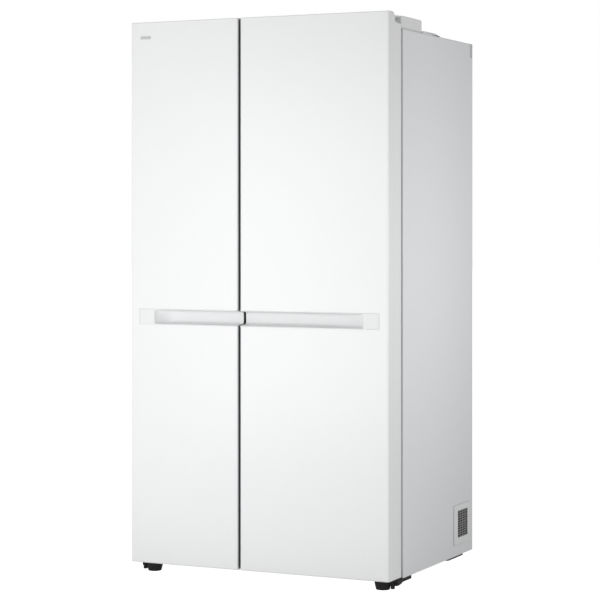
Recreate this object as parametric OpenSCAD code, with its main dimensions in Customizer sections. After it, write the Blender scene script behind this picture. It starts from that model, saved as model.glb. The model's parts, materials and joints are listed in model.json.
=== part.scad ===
// Side by side refrigerator: foamed steel cabinet, two hinged doors with recessed grips,
// glass shelves, drawers, door bins, and the cooling machinery low at the rear.
// X runs across the front, the doors face -Y, Z is up. The origin is on the floor under the middle.

/* [Overall size] */
// Width across the doors and the cabinet
case_w = 912; // [880:1:940]
// Depth from the door fronts to the rear edge of the cabinet
overall_d = 736; // [716:1:760]
// Height from the floor to the tops of the doors
overall_h = 1796; // [1760:1:1830]

/* [Cabinet] */
// Depth of the space between a door's back and the cabinet's front
gasket_space = 17.5; // [16:0.5:20]
// How far the cabinet's top lies below the door tops
case_drop = 45; // [42:1:50]
// Height of the cabinet's lower edge above the floor
case_lift = 31; // [30:1:34]
// Thickness of the painted steel sheet
sheet_t = 1; // [0.6:0.1:1.2]
// Thickness of the formed plastic liners
liner_t = 2; // [1.5:0.5:3]
// Width of the wall between the two compartments
mullion_w = 58; // [52:1:64]
// Height of the lowest shelf row above the floor
first_shelf_z = 392; // [385:1:400]
// Step from one shelf to the next
shelf_pitch = 260; // [240:5:280]

/* [Doors] */
// Thickness of each door
door_t = 100; // [96:1:104]
// Width of the gap between the doors
door_gap = 9; // [7:1:12]
// Where the middle of the gap lies, from the middle of the cabinet
split_x = -61.5; // [-70:0.5:-52]
// Height of the doors' lower edge above the floor
door_lift = 36; // [36:1:40]
// Rounding of a door's front edges
door_edge_r = 5; // [3:1:8]
// Number of bins on each door
bin_count = 4; // [2:1:4]

/* [Recessed grips] */
// Height of the middle of the grips above the floor
grip_z = 838; // [780:1:900]
// Height of the grip band
grip_h = 52; // [44:1:60]
// Depth of the grip's floor behind the door front
grip_d = 43; // [36:1:46]
// Distance from a door's hinge side to the grip band
grip_margin = 31; // [24:1:40]
// Width of the flat pad at the end of the band
grip_pad_w = 52; // [40:1:64]
// Length of the curved run from the pad down to the grip's floor
grip_ramp_l = 110; // [60:1:120]

/* [Running gear] */
// Diameter of a levelling foot
foot_d = 52; // [46:1:54]
// Diameter of a rear roller
roller_d = 50; // [46:1:54]

/* [Hidden] */
$fn = 48;
half_w = case_w / 2;
front_y = -overall_d / 2;
rear_y = overall_d / 2;
door_back_y = front_y + door_t;
case_y = door_back_y + gasket_space;
case_top = overall_h - case_drop;
lid = 2.5; // visible thickness of a door's end cap
inner_w = half_w - sheet_t;
frame_y = case_y + sheet_t;
back_y = rear_y - 3;
hinge_plate_z = case_lift - 4;
plate_top = 60;
plate_t = 2;

// Compartments. Each span is the outside of its liner, across X and up Z.
cold_x = [split_x + mullion_w / 2, half_w - 45];
freeze_x = [-half_w + 50, split_x - mullion_w / 2];
cave_z = [112, case_top - 59];
cave_back = 300;
hump = [[95, 112], [95, 200], [165, 288], [cave_back, 288]];
machine_y = 150;
machine_top = 230;
bulkhead = [[machine_y, plate_top], [machine_y, 170], [200, machine_top], [back_y, machine_top]];

// Door hinges turn about a vertical line through this point on the right, mirrored on the left.
pivot = [half_w - 22, front_y + 76];
// A hinge cover: rounding of its nose, where the narrow nose meets its body, and its rear face
cover_r = 12.5;
cover_step = -240;
cover_back = -70;
pin_r = 6;
running = 0.05;
notch_d = 50;
notch_r = 18;
notch_w = 105;
notch_h = 32;
notch_z = overall_h - notch_h;
cap_h = 12;

// Free edges, each in the frame of its own door, hinged on +X. The freezer door is mirrored into place.
cold_free = split_x + door_gap / 2;
freeze_free = -(split_x - door_gap / 2);
cold_cave = cold_x + [liner_t, -liner_t];
freeze_cave = [-freeze_x[1] + liner_t, -freeze_x[0] - liner_t];
dike_w = 26;
dike_y = case_y + 24.5;
cold_bin_y = -160;
freeze_bin_y = -175;
bin_wall = 3;
first_bin_z = 154;
bin_pitch = 372;
bin_h = 104;
bin_dip = 20;

foot_at = [407, -298];
roller_at = [350, 195];
skid_y = [142, 278];
axle_r = 5;
vent_y = [190, 335];
vent_z = [67, 200];
window_y = [224, 317];
window_z = [90, 180];
spacer_h = 48;
spacer_d = 24;
low_drawer_z = [cave_z[0] + liner_t + 0.4, 236];
high_drawer_z = [250, 374];
drawer_wall = 3;
drawer_back = [85, 118];
cold_drawer_x = [cold_x[0] + 12, cold_x[1] - 27];
freeze_drawer_x = [freeze_x[0] + 20, freeze_x[1] - 12];
fan_at = [-248, 862];
blower_at = [130, 262, 145];
shelf_count = 5;
// Front and back edges of the glass, in the fresh food side and in the freezer
shelf_front = [-140, -150];
shelf_back = [262, 206];
glass_t = 5;

// A box from its lowest to its highest corner
module span(a, b) translate(a) cube(b - a);

// A flat rectangle between two corners, its corners rounded by r
module rect(a, b, r = 0) {
    if (r > 0)
        offset(r, $fn = 24) translate(a + [r, r]) square(b - a - 2 * [r, r]);
    else
        translate(a) square(b - a);
}

// Extrusions whose outline is drawn as the named axis would be looked along
module along_x(x0, x1) translate([x0, 0, 0]) rotate([90, 0, 90]) linear_extrude(x1 - x0) children();
module along_y(y0, y1) translate([0, y1, 0]) rotate([90, 0, 0]) linear_extrude(y1 - y0) children();
module along_z(z0, z1) translate([0, 0, z0]) linear_extrude(z1 - z0) children();
module flip_left() mirror([1, 0, 0]) children();
module rod(at, z0, z1, r) translate([at[0], at[1], z0]) cylinder(h = z1 - z0, r = r);

// ---- Cabinet ----

// Side outline of a compartment, with the step over the machine space at its back
function cave_outline(y) = concat([[y, cave_z[0]]], hump, [[cave_back, cave_z[1]], [y, cave_z[1]]]);

module cave(x, y) along_x(x[0], x[1]) polygon(cave_outline(y));

module case_wrapper() color("white") difference() {
    along_y(case_y, rear_y) difference() {
        union() {
            rect([-half_w, case_lift + 20], [half_w, case_top], 4);
            rect([-half_w, case_lift], [half_w, case_lift + 60]);
        }
        rect([-inner_w, case_lift - 60], [inner_w, case_top - sheet_t], 3);
    }
    span([-half_w - 1, rear_y - spacer_d, case_top - spacer_h], [half_w + 1, rear_y + 1, case_top + 1]);
    span([inner_w - 1, window_y[0], window_z[0]], [half_w + 1, window_y[1], window_z[1]]);
}

module front_frame() color("white") along_y(case_y, frame_y) difference() {
    rect([-inner_w, case_lift], [inner_w, case_top - sheet_t], 0);
    rect([freeze_x[0], cave_z[0]], [freeze_x[1], cave_z[1]]);
    rect([cold_x[0], cave_z[0]], [cold_x[1], cave_z[1]]);
    for (s = [-1, 1])
        translate([s * inner_w, case_top - sheet_t]) rotate(45) square(6, center = true);
}

module back_panel() color("lightgray")
    span([-inner_w, back_y, machine_top + 1], [inner_w, back_y + 1, case_top - spacer_h]);

module rear_top_spacer() color("gray") difference() {
    span([-half_w, rear_y - spacer_d, case_top - spacer_h], [half_w, rear_y, case_top]);
    for (i = [-3:3])
        span([i * 120 - 45, rear_y - 8, case_top - spacer_h + 8], [i * 120 + 45, rear_y + 1, case_top - 8]);
}

module cabinet_foam() color("khaki") difference() {
    span([-inner_w, frame_y, plate_top], [inner_w, back_y, case_top - sheet_t]);
    cave(freeze_x, case_y - 5);
    cave(cold_x, case_y - 5);
    along_x(-half_w, half_w) polygon(concat([[machine_y - 1, plate_top - 1]],
        [for (p = bulkhead) p + [p[0] == back_y ? 5 : -1, p[0] > machine_y ? 1 : 0]], [[rear_y, plate_top - 1]]));
    span([-half_w, rear_y - spacer_d, case_top - spacer_h], [half_w, rear_y, case_top]);
    for (s = [-1, 1])
        translate([s * inner_w, 0, case_top - sheet_t]) rotate([0, 45, 0])
            cube([6, 2 * overall_d, 6], center = true);
}

// A formed liner: its wall, the ribs that carry the shelves, and the rails under the upper drawer
module liner(x, shelf_back, drawer_x) {
    difference() {
        cave(x, case_y);
        along_x(x[0] + liner_t, x[1] - liner_t) offset(delta = -liner_t) polygon(cave_outline(case_y - 10));
    }
    for (i = [0:shelf_count - 1], side = [0, 1]) {
        z = first_shelf_z + i * shelf_pitch;
        x0 = side == 0 ? x[0] + liner_t : x[1] - liner_t - 8;
        span([x0, -140, z - 8], [x0 + 8, shelf_back, z]);
    }
    for (e = [[x[0] + liner_t, drawer_x[0] + 10], [drawer_x[1] - 10, x[1] - liner_t]])
        span([e[0], -136, low_drawer_z[1] + 2], [e[1], 85, high_drawer_z[0] - 0.4]);
}

module freezer_liner() color("whitesmoke") liner(freeze_x, shelf_back[1], freeze_drawer_x);
module fridge_liner() color("whitesmoke") liner(cold_x, shelf_back[0], cold_drawer_x);

module base_frame() color("dimgray") difference() {
    union() {
        span([-inner_w, frame_y, plate_top - plate_t], [inner_w, back_y, plate_top]);
        for (s = [0, 1])
            mirror([s, 0, 0]) {
                along_y(frame_y, back_y) polygon([[inner_w, case_lift], [inner_w, plate_top - plate_t],
                    [inner_w - 2, plate_top - plate_t], [inner_w - 2, case_lift + 2],
                    [inner_w - 80, case_lift + 2], [inner_w - 80, case_lift]]);
                span([inner_w - 30, skid_y[0], case_lift - 6], [inner_w, skid_y[1], case_lift]);
                for (k = [-1, 1])
                    translate([roller_at[0] + k * 16 - 1.5, 0, 0]) along_x(0, 3) hull() {
                        translate([roller_at[1], roller_d / 2]) circle(r = 11);
                        rect([roller_at[1] - 30, plate_top - plate_t - 6],
                            [roller_at[1] + 30, plate_top - plate_t]);
                    }
                translate([roller_at[0] - 20, roller_at[1], roller_d / 2]) rotate([0, 90, 0])
                    cylinder(h = 40, r = axle_r);
            }
        along_x(-inner_w, inner_w) polygon(concat(bulkhead,
            [for (i = [3:-1:0]) bulkhead[i] + [i == 3 ? 0 : -1, i > 1 ? 1 : 0]]));
    }
    span([-300, frame_y + 60, plate_top - 20], [300, machine_y - 60, plate_top - plate_t - 2]);
}

// ---- Hinges ----

module upper_hinge() {
    along_x(pivot[0] - 22, pivot[0] - 2) polygon([[pivot[1], notch_z + 2], [pivot[1], notch_z + 6],
        [-236, notch_z + 6], [-236, case_top + 4], [-130, case_top + 4], [-130, case_top],
        [-240, case_top], [-240, notch_z + 2]]);
    span([pivot[0] - 46, -228, case_top], [pivot[0] - 2, -130, case_top + 4]);
    rod(pivot, notch_z + 2, notch_z + 6, 10);
    rod(pivot, notch_z - 28, notch_z + 2, pin_r);
    for (y = [-205, -155])
        rod([pivot[0] - 30, y], case_top + 4, case_top + 9, 7);
}

module upper_hinge_left() color("silver") flip_left() upper_hinge();
module upper_hinge_right() color("silver") upper_hinge();

module lower_hinge() {
    difference() {
        along_z(hinge_plate_z, case_lift) polygon([[inner_w, -180], [inner_w, -296], [448, -314], [396, -314],
            [378, -296], [372, -262], [372, -180]]);
        rod(foot_at, 0, case_lift + 1, axle_r + running);
    }
    along_x(inner_w - 9, inner_w) polygon([[-180, hinge_plate_z], [-180, 19], [-250, 19], [-262, 15], [-284, 13],
        [-296, 13], [-296, hinge_plate_z]]);
    span([436, -306, 4], [446, -294, hinge_plate_z]);
    rod(pivot, case_lift, door_lift - 0.3, 11);
    rod(pivot, case_lift, door_lift + 30, pin_r);
}

module lower_hinge_left() color("black") flip_left() lower_hinge();
module lower_hinge_right() color("black") lower_hinge();

// Side outline of a hinge cover, inset by g, open below when g > 0
function cover_side(g) = [[cover_back - g, case_top - g], [cover_back - g, case_top + 39 - g],
    [cover_back - 4 - g, case_top + 43 - g],
    [-235, case_top + 43 - g], [-298 + g, case_top + 37 - g], [-309.5 + g, case_top + 28 - g],
    [-309.5 + g, notch_z + 1 - g], [-248 + g, notch_z + 1 - g], [-248 + g, case_top - g]];

// Plan outline of a hinge cover, inset by g
module cover_plan(g) {
    hull() {
        for (y = [pivot[1], pivot[1] - 5], x = [pivot[0], pivot[0] - 50])
            translate([x, y]) circle(r = cover_r - g, $fn = 32);
        rect([pivot[0] - 50 - cover_r + g, cover_step], [pivot[0] + 0.5 - g, cover_step + 4]);
    }
    rect([pivot[0] - 68 + g, cover_step + g], [pivot[0] + cover_r - g, cover_back - g], 4 - g);
}

module hinge_cover() difference() {
    intersection() {
        along_x(pivot[0] - 80, pivot[0] + 30) polygon(cover_side(0));
        along_z(case_top - 5, overall_h) cover_plan(0);
    }
    intersection() {
        along_x(pivot[0] - 80, pivot[0] + 30) polygon(cover_side(1.5));
        along_z(case_top - 5, overall_h) cover_plan(1.5);
    }
}

module hinge_cover_left() color("white") flip_left() hinge_cover();
module hinge_cover_right() color("white") hinge_cover();

module top_wiring_cover() color("white") along_x(3 - half_w, half_w - 3) polygon([[cover_back, case_top],
    [cover_back, case_top + 8], [34, case_top + 8], [54, case_top + 5], [72, case_top]]);

// ---- Inside the compartments ----

module fridge_duct_cover() color("white") difference() {
    span([120, 272, 420], [260, cave_back - liner_t, 1640]);
    span([123, 275, 423], [257, cave_back, 1637]);
    for (i = [0:4], s = [-1, 1])
        span([190 + s * 36 - 22, 270, 480 + i * shelf_pitch], [190 + s * 36 + 22, 276, 492 + i * shelf_pitch]);
}

module freezer_duct_cover() color("white") difference() {
    span([freeze_x[0] + liner_t, 214, 288 + liner_t], [freeze_x[1] - liner_t, cave_back - liner_t, 1500]);
    span([freeze_x[0] + liner_t + 3, 217, 280], [freeze_x[1] - liner_t - 3, cave_back, 1497]);
    for (i = [0:3])
        span([fan_at[0] - 60, 212, 1240 + i * 22], [fan_at[0] + 60, 218, 1248 + i * 22]);
    for (a = [0:30:330])
        translate([fan_at[0], 0, fan_at[1]]) rotate([0, a, 0]) span([18, 212, -4], [52, 218, 4]);
}

module evaporator() color("silver") {
    for (z = [430:70:710])
        translate([-380, 256, z]) rotate([0, 90, 0]) cylinder(h = 264, r = 4);
    difference() {
        for (i = [0:12])
            span([-372 + i * 20.5, 232, 410], [-371 + i * 20.5, 280, 730]);
        for (z = [430:70:710])
            translate([-381, 256, z]) rotate([0, 90, 0]) cylinder(h = 266, r = 3.5);
    }
}

module fan_motors() color("dimgray") {
    translate([fan_at[0], cave_back - liner_t, fan_at[1]]) rotate([0, 0, 180]) {
        rotate([-90, 0, 0]) cylinder(h = 24, r = 18);
        rotate([-90, 0, 0]) cylinder(h = 50, r = 3);
    }
    translate(blower_at - [50, 0, 0]) rotate([0, 90, 0]) {
        cylinder(h = 24, r = 18);
        cylinder(h = 54, r = 3);
    }
    span([blower_at[0] - 44, blower_at[1] - 8, plate_top], [blower_at[0] - 32, blower_at[1] + 8, blower_at[2]]);
}

// An axial fan about +Z with a bored hub and pitched blades
module axial_fan(r) difference() {
    union() {
        cylinder(h = 20, r = 17);
        for (a = [0:72:288])
            rotate(a) translate([14, 0, 10]) rotate([32, 0, 0]) translate([0, -15, -1]) cube([r - 14, 30, 2]);
    }
    translate([0, 0, -1]) cylinder(h = 22, r = 3 + running);
    translate([0, 0, -20]) cylinder(h = 20, r = r + 1);
    translate([0, 0, 20]) cylinder(h = 20, r = r + 1);
}

module evaporator_fan() color("white") translate([fan_at[0], 250, fan_at[1]]) rotate([-90, 0, 0]) axial_fan(56);
module condenser_fan() color("gray") translate(blower_at - [18, 0, 0]) rotate([0, 90, 0]) axial_fan(64);

module interior_lamps() color("ivory") {
    along_z(cave_z[1] - liner_t - 5, cave_z[1] - liner_t) rect([150, 60], [230, 130], 8);
    along_z(cave_z[1] - liner_t - 5, cave_z[1] - liner_t) rect([-288, 40], [-208, 110], 8);
}

button_at = [[160, -170], [220, -170]];

module control_panel() color("lightgray") difference() {
    along_z(cave_z[1] - liner_t - 12, cave_z[1] - liner_t) rect([110, -205], [270, -135], 8);
    for (p = button_at)
        rod(p, cave_z[1] - liner_t - 13, cave_z[1] - liner_t - 3, 9.4);
}

module temperature_button(at) {
    rod(at, cave_z[1] - liner_t - 13.2, cave_z[1] - liner_t - 5, 9);
}

module fridge_temperature_button() color("white") temperature_button(button_at[1]);
module freezer_temperature_button() color("white") temperature_button(button_at[0]);

module shelf_row(x, y0, y1) for (i = [0:shelf_count - 1])
    span([x[0] + liner_t + 1.5, y0, first_shelf_z + i * shelf_pitch],
        [x[1] - liner_t - 1.5, y1, first_shelf_z + i * shelf_pitch + glass_t]);

module fridge_shelves() color("lightblue") shelf_row(cold_x, shelf_front[0], shelf_back[0]);
module freezer_shelves() color("lightblue") shelf_row(freeze_x, shelf_front[1], shelf_back[1]);

// Front rails of the shelves, round the front edge of the glass
module shelf_trims() color("white")
    for (i = [0:shelf_count - 1], c = [[cold_x, shelf_front[0]], [freeze_x, shelf_front[1]]])
    difference() {
        z = first_shelf_z + i * shelf_pitch;
        along_x(c[0][0] + liner_t + 1.5, c[0][1] - liner_t - 1.5)
            rect([c[1] - 8, z - 7], [c[1] == shelf_front[0] ? c[1] + 10 : c[1] + 30, z + 9], 2);
        span([c[0][0], c[1], z], [c[0][1], c[1] + 60, z + glass_t]);
        for (s = [0, 1])
            span([s == 0 ? c[0][0] : c[0][1] - 10 - liner_t, -140.5, z - 10],
                [s == 0 ? c[0][0] + 10 + liner_t : c[0][1], 0, z]);
    }

// ---- Drawers ----

// An open topped drawer with a thicker front and a finger rail along its top
module drawer(x, y, z, wall) difference() {
    union() {
        span([x[0], y[0], z[0]], [x[1], y[1], z[1]]);
        along_x(x[0], x[1]) polygon([[y[0], z[1] - 14], [y[0], z[1]], [y[0] - 4, z[1]], [y[0] - 4, z[1] - 10]]);
    }
    span([x[0] + wall, y[0] + 4, z[0] + wall], [x[1] - wall, y[1] - wall, z[1] + 1]);
    span([x[0] - 1, y[1] - 30, z[0] - 1], [x[1] + 1, y[1] + 1, z[0] - 0.5]);
}

module crisper_drawer_upper() color("azure")
    drawer(cold_drawer_x, [shelf_front[0], drawer_back[1]], high_drawer_z, drawer_wall);
module crisper_drawer_lower() color("azure")
    drawer(cold_drawer_x, [shelf_front[0], drawer_back[0]], low_drawer_z, drawer_wall);
module freezer_drawer_upper() color("azure")
    drawer(freeze_drawer_x, [shelf_front[1], drawer_back[1]], high_drawer_z, drawer_wall);
module freezer_drawer_lower() color("azure")
    drawer(freeze_drawer_x, [shelf_front[1], drawer_back[0]], low_drawer_z, drawer_wall);

// ---- Machine space ----

compressor_at = [-280, 262, 0];
stud_at = [80, 55];

module compressor() color("black") translate(compressor_at) {
    difference() {
        along_z(68, 71) rect([-95, -70], [95, 70], 12);
        for (x = [-stud_at[0], stud_at[0]], y = [-stud_at[1], stud_at[1]])
            rod([x, y], 60, 80, 5);
    }
    rotate_extrude() polygon([[0, 71], [62, 71], [72, 84], [72, 165], [66, 184], [50, 198], [26, 205], [0, 207]]);
    translate([0, 0, 150]) rotate([0, 90, 0]) cylinder(h = 92, r = 5);
}

module compressor_mounts() color("black") translate(compressor_at)
        for (x = [-stud_at[0], stud_at[0]], y = [-stud_at[1], stud_at[1]]) {
    rod([x, y], plate_top, 68, 11);
    rod([x, y], 68, 74, 4.9);
    rod([x, y], 71, 76, 8);
}

module condenser() color("dimgray") {
    difference() {
        for (i = [0:15])
            span([200 + i * 15, 190, 66], [201 + i * 15, 330, 200]);
        for (y = [215:45:305], z = [95:40:175])
            translate([195, y, z]) rotate([0, 90, 0]) cylinder(h = 250, r = 3.5);
    }
    for (y = [215:45:305], z = [95:40:175])
        translate([196, y, z]) rotate([0, 90, 0]) cylinder(h = 240, r = 4);
    for (y = [200, 320])
        span([200, y - 6, plate_top], [431, y + 6, 67]);
}

module drip_pan() color("gray") difference() {
    span([-150, 180, plate_top], [50, 340, 100]);
    span([-148, 182, plate_top + 2], [48, 338, 101]);
}

gland_at = [-400, 150];

module machine_cover() color("lightgray") difference() {
    span([-inner_w, back_y, case_lift], [inner_w, rear_y - 1, machine_top + 1]);
    for (i = [0:8], x = [-300, -60, 180])
        span([x, back_y - 1, 80 + i * 15], [x + 170, rear_y, 87 + i * 15]);
    translate([gland_at[0], back_y - 1, gland_at[1]]) rotate([-90, 0, 0]) cylinder(h = 9, r = 10);
}

module cord_gland() color("black") translate([gland_at[0], 0, gland_at[1]]) difference() {
    union() {
        translate([0, back_y - 6, 0]) rotate([-90, 0, 0]) cylinder(h = 9, r = 10);
        translate([0, back_y - 6, 0]) rotate([-90, 0, 0]) cylinder(h = 6, r = 13);
    }
    translate([0, back_y - 8, 0]) rotate([-90, 0, 0]) cylinder(h = 14, r = 4.5);
}

slot_rows = 11;
slot_columns = 4;
slot_pitch = [22.8, 7.9];
slot_size = [16, 4.9];
slot_start = [4.3, 3.05];

module side_vent() color("white") difference() {
    union() {
        along_x(half_w, half_w + 2) rect([vent_y[0], vent_z[0]], [vent_y[1], vent_z[1]], 9);
        span([inner_w, window_y[0], window_z[0]], [half_w + 1, window_y[1], window_z[1]]);
    }
    for (i = [0:slot_rows - 1], j = [0:slot_columns - 1]) {
        y = window_y[0] + slot_start[0] + j * slot_pitch[0];
        z = window_z[0] + slot_start[1] + i * slot_pitch[1];
        span([inner_w - 1, y, z], [half_w + 3, y + slot_size[0], z + slot_size[1]]);
    }
}

// ---- Running gear ----

module levelling_foot() {
    translate([foot_at[0], foot_at[1], 0]) rotate_extrude() polygon([[0, 0], [foot_d / 2 - 6, 0],
        [foot_d / 2 - 4.5, 1.5], [foot_d / 2, 20], [foot_d / 2, 24], [foot_d / 2 - 1.5, 25.5], [9, 25.5],
        [9, hinge_plate_z - 0.3], [axle_r, hinge_plate_z - 0.3], [axle_r, door_lift - 1], [0, door_lift - 1]]);
}

module foot_left() color("black") flip_left() levelling_foot();
module foot_right() color("black") levelling_foot();

module rear_roller() translate([roller_at[0], roller_at[1], roller_d / 2]) rotate([0, 90, 0]) difference() {
    rotate_extrude() polygon([[0, -12], [roller_d / 2 - 1.5, -12], [roller_d / 2, -10.5], [roller_d / 2, 10.5],
        [roller_d / 2 - 1.5, 12], [0, 12]]);
    translate([0, 0, -20]) cylinder(h = 40, r = axle_r + running);
}

module rear_roller_left() color("black") flip_left() rear_roller();
module rear_roller_right() color("black") rear_roller();

// ---- Doors, each drawn hinged on +X with its free edge at x = free ----

// Plan of a door, inset by g, with rounded front corners
module door_plan(free, g, back) {
    rect([free + g, front_y + g], [half_w - g, back], door_edge_r - g);
    rect([free + g, front_y + 40], [half_w - g, back]);
}

// Space over the top hinge, cut from the rear hinge corner of each door, grown by g. The edge in front of
// it is rounded.
module hinge_notch(g) {
    span([half_w - notch_w - g, front_y + notch_d - g, notch_z - g],
        [half_w + 20, door_back_y + 20, overall_h + 20]);
    edge = [front_y + notch_d - notch_r, overall_h - notch_r];
    along_x(half_w - notch_w - g, half_w + 20) difference() {
        translate(edge) square(notch_r + 5);
        translate(edge) circle(r = notch_r - g);
    }
}

pad_x = half_w - grip_margin;
// Share of the ramp over which the fall begins, and how quickly it falls after that
ramp_start = 0.07;
ramp_ease = 3.4;

// Share of the grip's depth at share t of the ramp: a soft start, a quick fall, a slow end
function ramp_fall(t) = let (s = min(t / ramp_start, 1)) (1 - pow(1 - t, ramp_ease)) * s * s * (3 - 2 * s);

// Floor line of the grip from the pad to the free edge, at depth d behind the floor
function grip_line(free, d) = concat([[pad_x, front_y + d]], [for (i = [0:20]) let (t = pow(i / 20, 1.6))
    [pad_x - grip_pad_w - grip_ramp_l * t, front_y + d + grip_d * ramp_fall(t)]],
    [[free, front_y + d + grip_d]]);
function reversed(v) = [for (i = [len(v) - 1:-1:0]) v[i]];

module grip_space(free, d, proud) polygon(concat([[free - proud, front_y - proud]],
    reversed(grip_line(free - proud, d)), [[pad_x, front_y - proud]]));

module door_skin(free) difference() {
    along_z(door_lift + lid, overall_h - lid) difference() {
        door_plan(free, 0, door_back_y);
        door_plan(free, sheet_t, door_back_y - sheet_t);
        rect([free + 12, door_back_y - 5], [half_w - 12, door_back_y + 1]);
    }
    along_z(grip_z - grip_h / 2, grip_z + grip_h / 2) grip_space(free, 3, 2);
    hinge_notch(0);
}

module door_foam(free, cave_x) difference() {
    union() {
        along_z(door_lift + lid + cap_h, overall_h - lid - cap_h) {
            door_plan(free, sheet_t, door_back_y - sheet_t);
            rect([free + 12, door_back_y - 5], [half_w - 12, door_back_y]);
        }
        dike(cave_x, liner_t, door_back_y - 1);
    }
    along_z(grip_z - grip_h / 2, grip_z + grip_h / 2) grip_space(free, 3, 2);
    hinge_notch(3);
    rod(pivot, door_lift, door_lift + 40, 11);
    rod(pivot, notch_z - 40, notch_z, 11);
}

// Raised border of the door's inner liner, inset by g, from y0 back
module dike(cave_x, g, y0) along_y(y0, dike_y - g) difference() {
    rect([cave_x[0] + 12 + g, cave_z[0] + 14 + g], [cave_x[1] - 12 - g, cave_z[1] - 14 - g]);
    rect([cave_x[0] + 12 + dike_w - g, cave_z[0] + 14 + dike_w - g],
        [cave_x[1] - 12 - dike_w + g, cave_z[1] - 14 - dike_w + g]);
}

module door_liner(free, cave_x) difference() {
    union() {
        span([free + 3, door_back_y, door_lift + 4], [half_w - 3, door_back_y + liner_t, notch_z - 4]);
        dike(cave_x, 0, door_back_y);
    }
    dike(cave_x, liner_t, door_back_y - 1);
}

module door_gasket(free, cave_x) along_y(door_back_y + liner_t, case_y - 0.3) difference() {
    rect([cave_x[0] - 21, cave_z[0] - 18], [cave_x[1] + 20, cave_z[1] + 18], 6);
    rect([cave_x[0] - 5, cave_z[0] - 2], [cave_x[1] + 4, cave_z[1] + 2], 3);
}

module door_caps(free) difference() {
    union() {
        along_z(door_lift, door_lift + lid) door_plan(free, 0, door_back_y);
        along_z(door_lift + lid, door_lift + lid + cap_h) door_plan(free, sheet_t, door_back_y - sheet_t);
        difference() {
            union() {
                along_z(overall_h - lid, overall_h) door_plan(free, 0, door_back_y);
                along_z(overall_h - lid - cap_h, overall_h - lid) door_plan(free, sheet_t, door_back_y - sheet_t);
                intersection() {
                    hinge_notch(3);
                    along_z(notch_z - 3, overall_h - lid) door_plan(free, sheet_t, door_back_y - sheet_t);
                }
            }
            hinge_notch(0);
        }
    }
    rod(pivot, door_lift - 1, door_lift + 40, 11);
    rod(pivot, notch_z - 40, notch_z + 1, 11);
}

module door_grip(free) {
    along_z(grip_z - grip_h / 2, grip_z + grip_h / 2) difference() {
        grip_space(free, 3, 0);
        translate([-0.01, 0]) grip_space(free, 0, 5);
    }
    for (z = [grip_z - grip_h / 2, grip_z + grip_h / 2 - 2.5])
        along_z(z, z + 2.5) grip_space(free, 3, 0);
}

module door_bushes() {
    difference() {
        rod(pivot, door_lift, door_lift + 34, 11);
        rod(pivot, door_lift - 1, door_lift + 31, pin_r + running);
    }
    difference() {
        rod(pivot, notch_z - 34, notch_z, 11);
        rod(pivot, notch_z - 29, notch_z + 1, pin_r + running);
    }
}

// Bins between the borders, open at the top, with a low front
module door_bins(cave_x, rear) for (i = [0:bin_count - 1]) {
    x0 = cave_x[0] + 12 + dike_w + 1;
    x1 = cave_x[1] - 12 - dike_w - 1;
    z0 = first_bin_z + i * bin_pitch;
    difference() {
        along_x(x0, x1) polygon([[door_back_y + liner_t, z0], [rear, z0], [rear, z0 + bin_h - bin_dip],
            [rear - 40, z0 + bin_h], [door_back_y + liner_t, z0 + bin_h]]);
        span([x0 + bin_wall, door_back_y + liner_t + bin_wall, z0 + bin_wall],
            [x1 - bin_wall, rear - bin_wall, z0 + 200]);
    }
}

module fridge_door_skin() color("white") door_skin(cold_free);
module fridge_door_foam() color("khaki") door_foam(cold_free, cold_cave);
module fridge_door_liner() color("whitesmoke") door_liner(cold_free, cold_cave);
module fridge_door_gasket() color("lightgray") door_gasket(cold_free, cold_cave);
module fridge_door_caps() color("lightgray") door_caps(cold_free);
module fridge_door_grip() color("white") door_grip(cold_free);
module fridge_door_bushes() color("black") door_bushes();
module fridge_door_bins() color("azure") door_bins(cold_cave, cold_bin_y);

module freezer_door_skin() color("white") flip_left() door_skin(freeze_free);
module freezer_door_foam() color("khaki") flip_left() door_foam(freeze_free, freeze_cave);
module freezer_door_liner() color("whitesmoke") flip_left() door_liner(freeze_free, freeze_cave);
module freezer_door_gasket() color("lightgray") flip_left() door_gasket(freeze_free, freeze_cave);
module freezer_door_caps() color("lightgray") flip_left() door_caps(freeze_free);
module freezer_door_grip() color("white") flip_left() door_grip(freeze_free);
module freezer_door_bushes() color("black") flip_left() door_bushes();
module freezer_door_bins() color("azure") flip_left() door_bins(freeze_cave, freeze_bin_y);

// A plain pill shaped badge on the freezer door
module front_badge() color("gray") along_y(front_y - 1, front_y)
    rect([-half_w + 34, overall_h - 56], [-half_w + 74, overall_h - 46], 4.5);

case_wrapper();
front_frame();
back_panel();
rear_top_spacer();
cabinet_foam();
freezer_liner();
fridge_liner();
base_frame();
upper_hinge_left();
upper_hinge_right();
lower_hinge_left();
lower_hinge_right();
hinge_cover_left();
hinge_cover_right();
top_wiring_cover();
fridge_duct_cover();
freezer_duct_cover();
evaporator();
fan_motors();
evaporator_fan();
condenser_fan();
condenser();
compressor();
compressor_mounts();
drip_pan();
machine_cover();
cord_gland();
side_vent();
interior_lamps();
control_panel();
fridge_temperature_button();
freezer_temperature_button();
fridge_shelves();
freezer_shelves();
shelf_trims();
crisper_drawer_upper();
crisper_drawer_lower();
freezer_drawer_upper();
freezer_drawer_lower();
foot_left();
foot_right();
rear_roller_left();
rear_roller_right();
fridge_door_skin();
fridge_door_foam();
fridge_door_liner();
fridge_door_gasket();
fridge_door_caps();
fridge_door_grip();
fridge_door_bushes();
fridge_door_bins();
freezer_door_skin();
freezer_door_foam();
freezer_door_liner();
freezer_door_gasket();
freezer_door_caps();
freezer_door_grip();
freezer_door_bushes();
freezer_door_bins();
front_badge();
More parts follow.
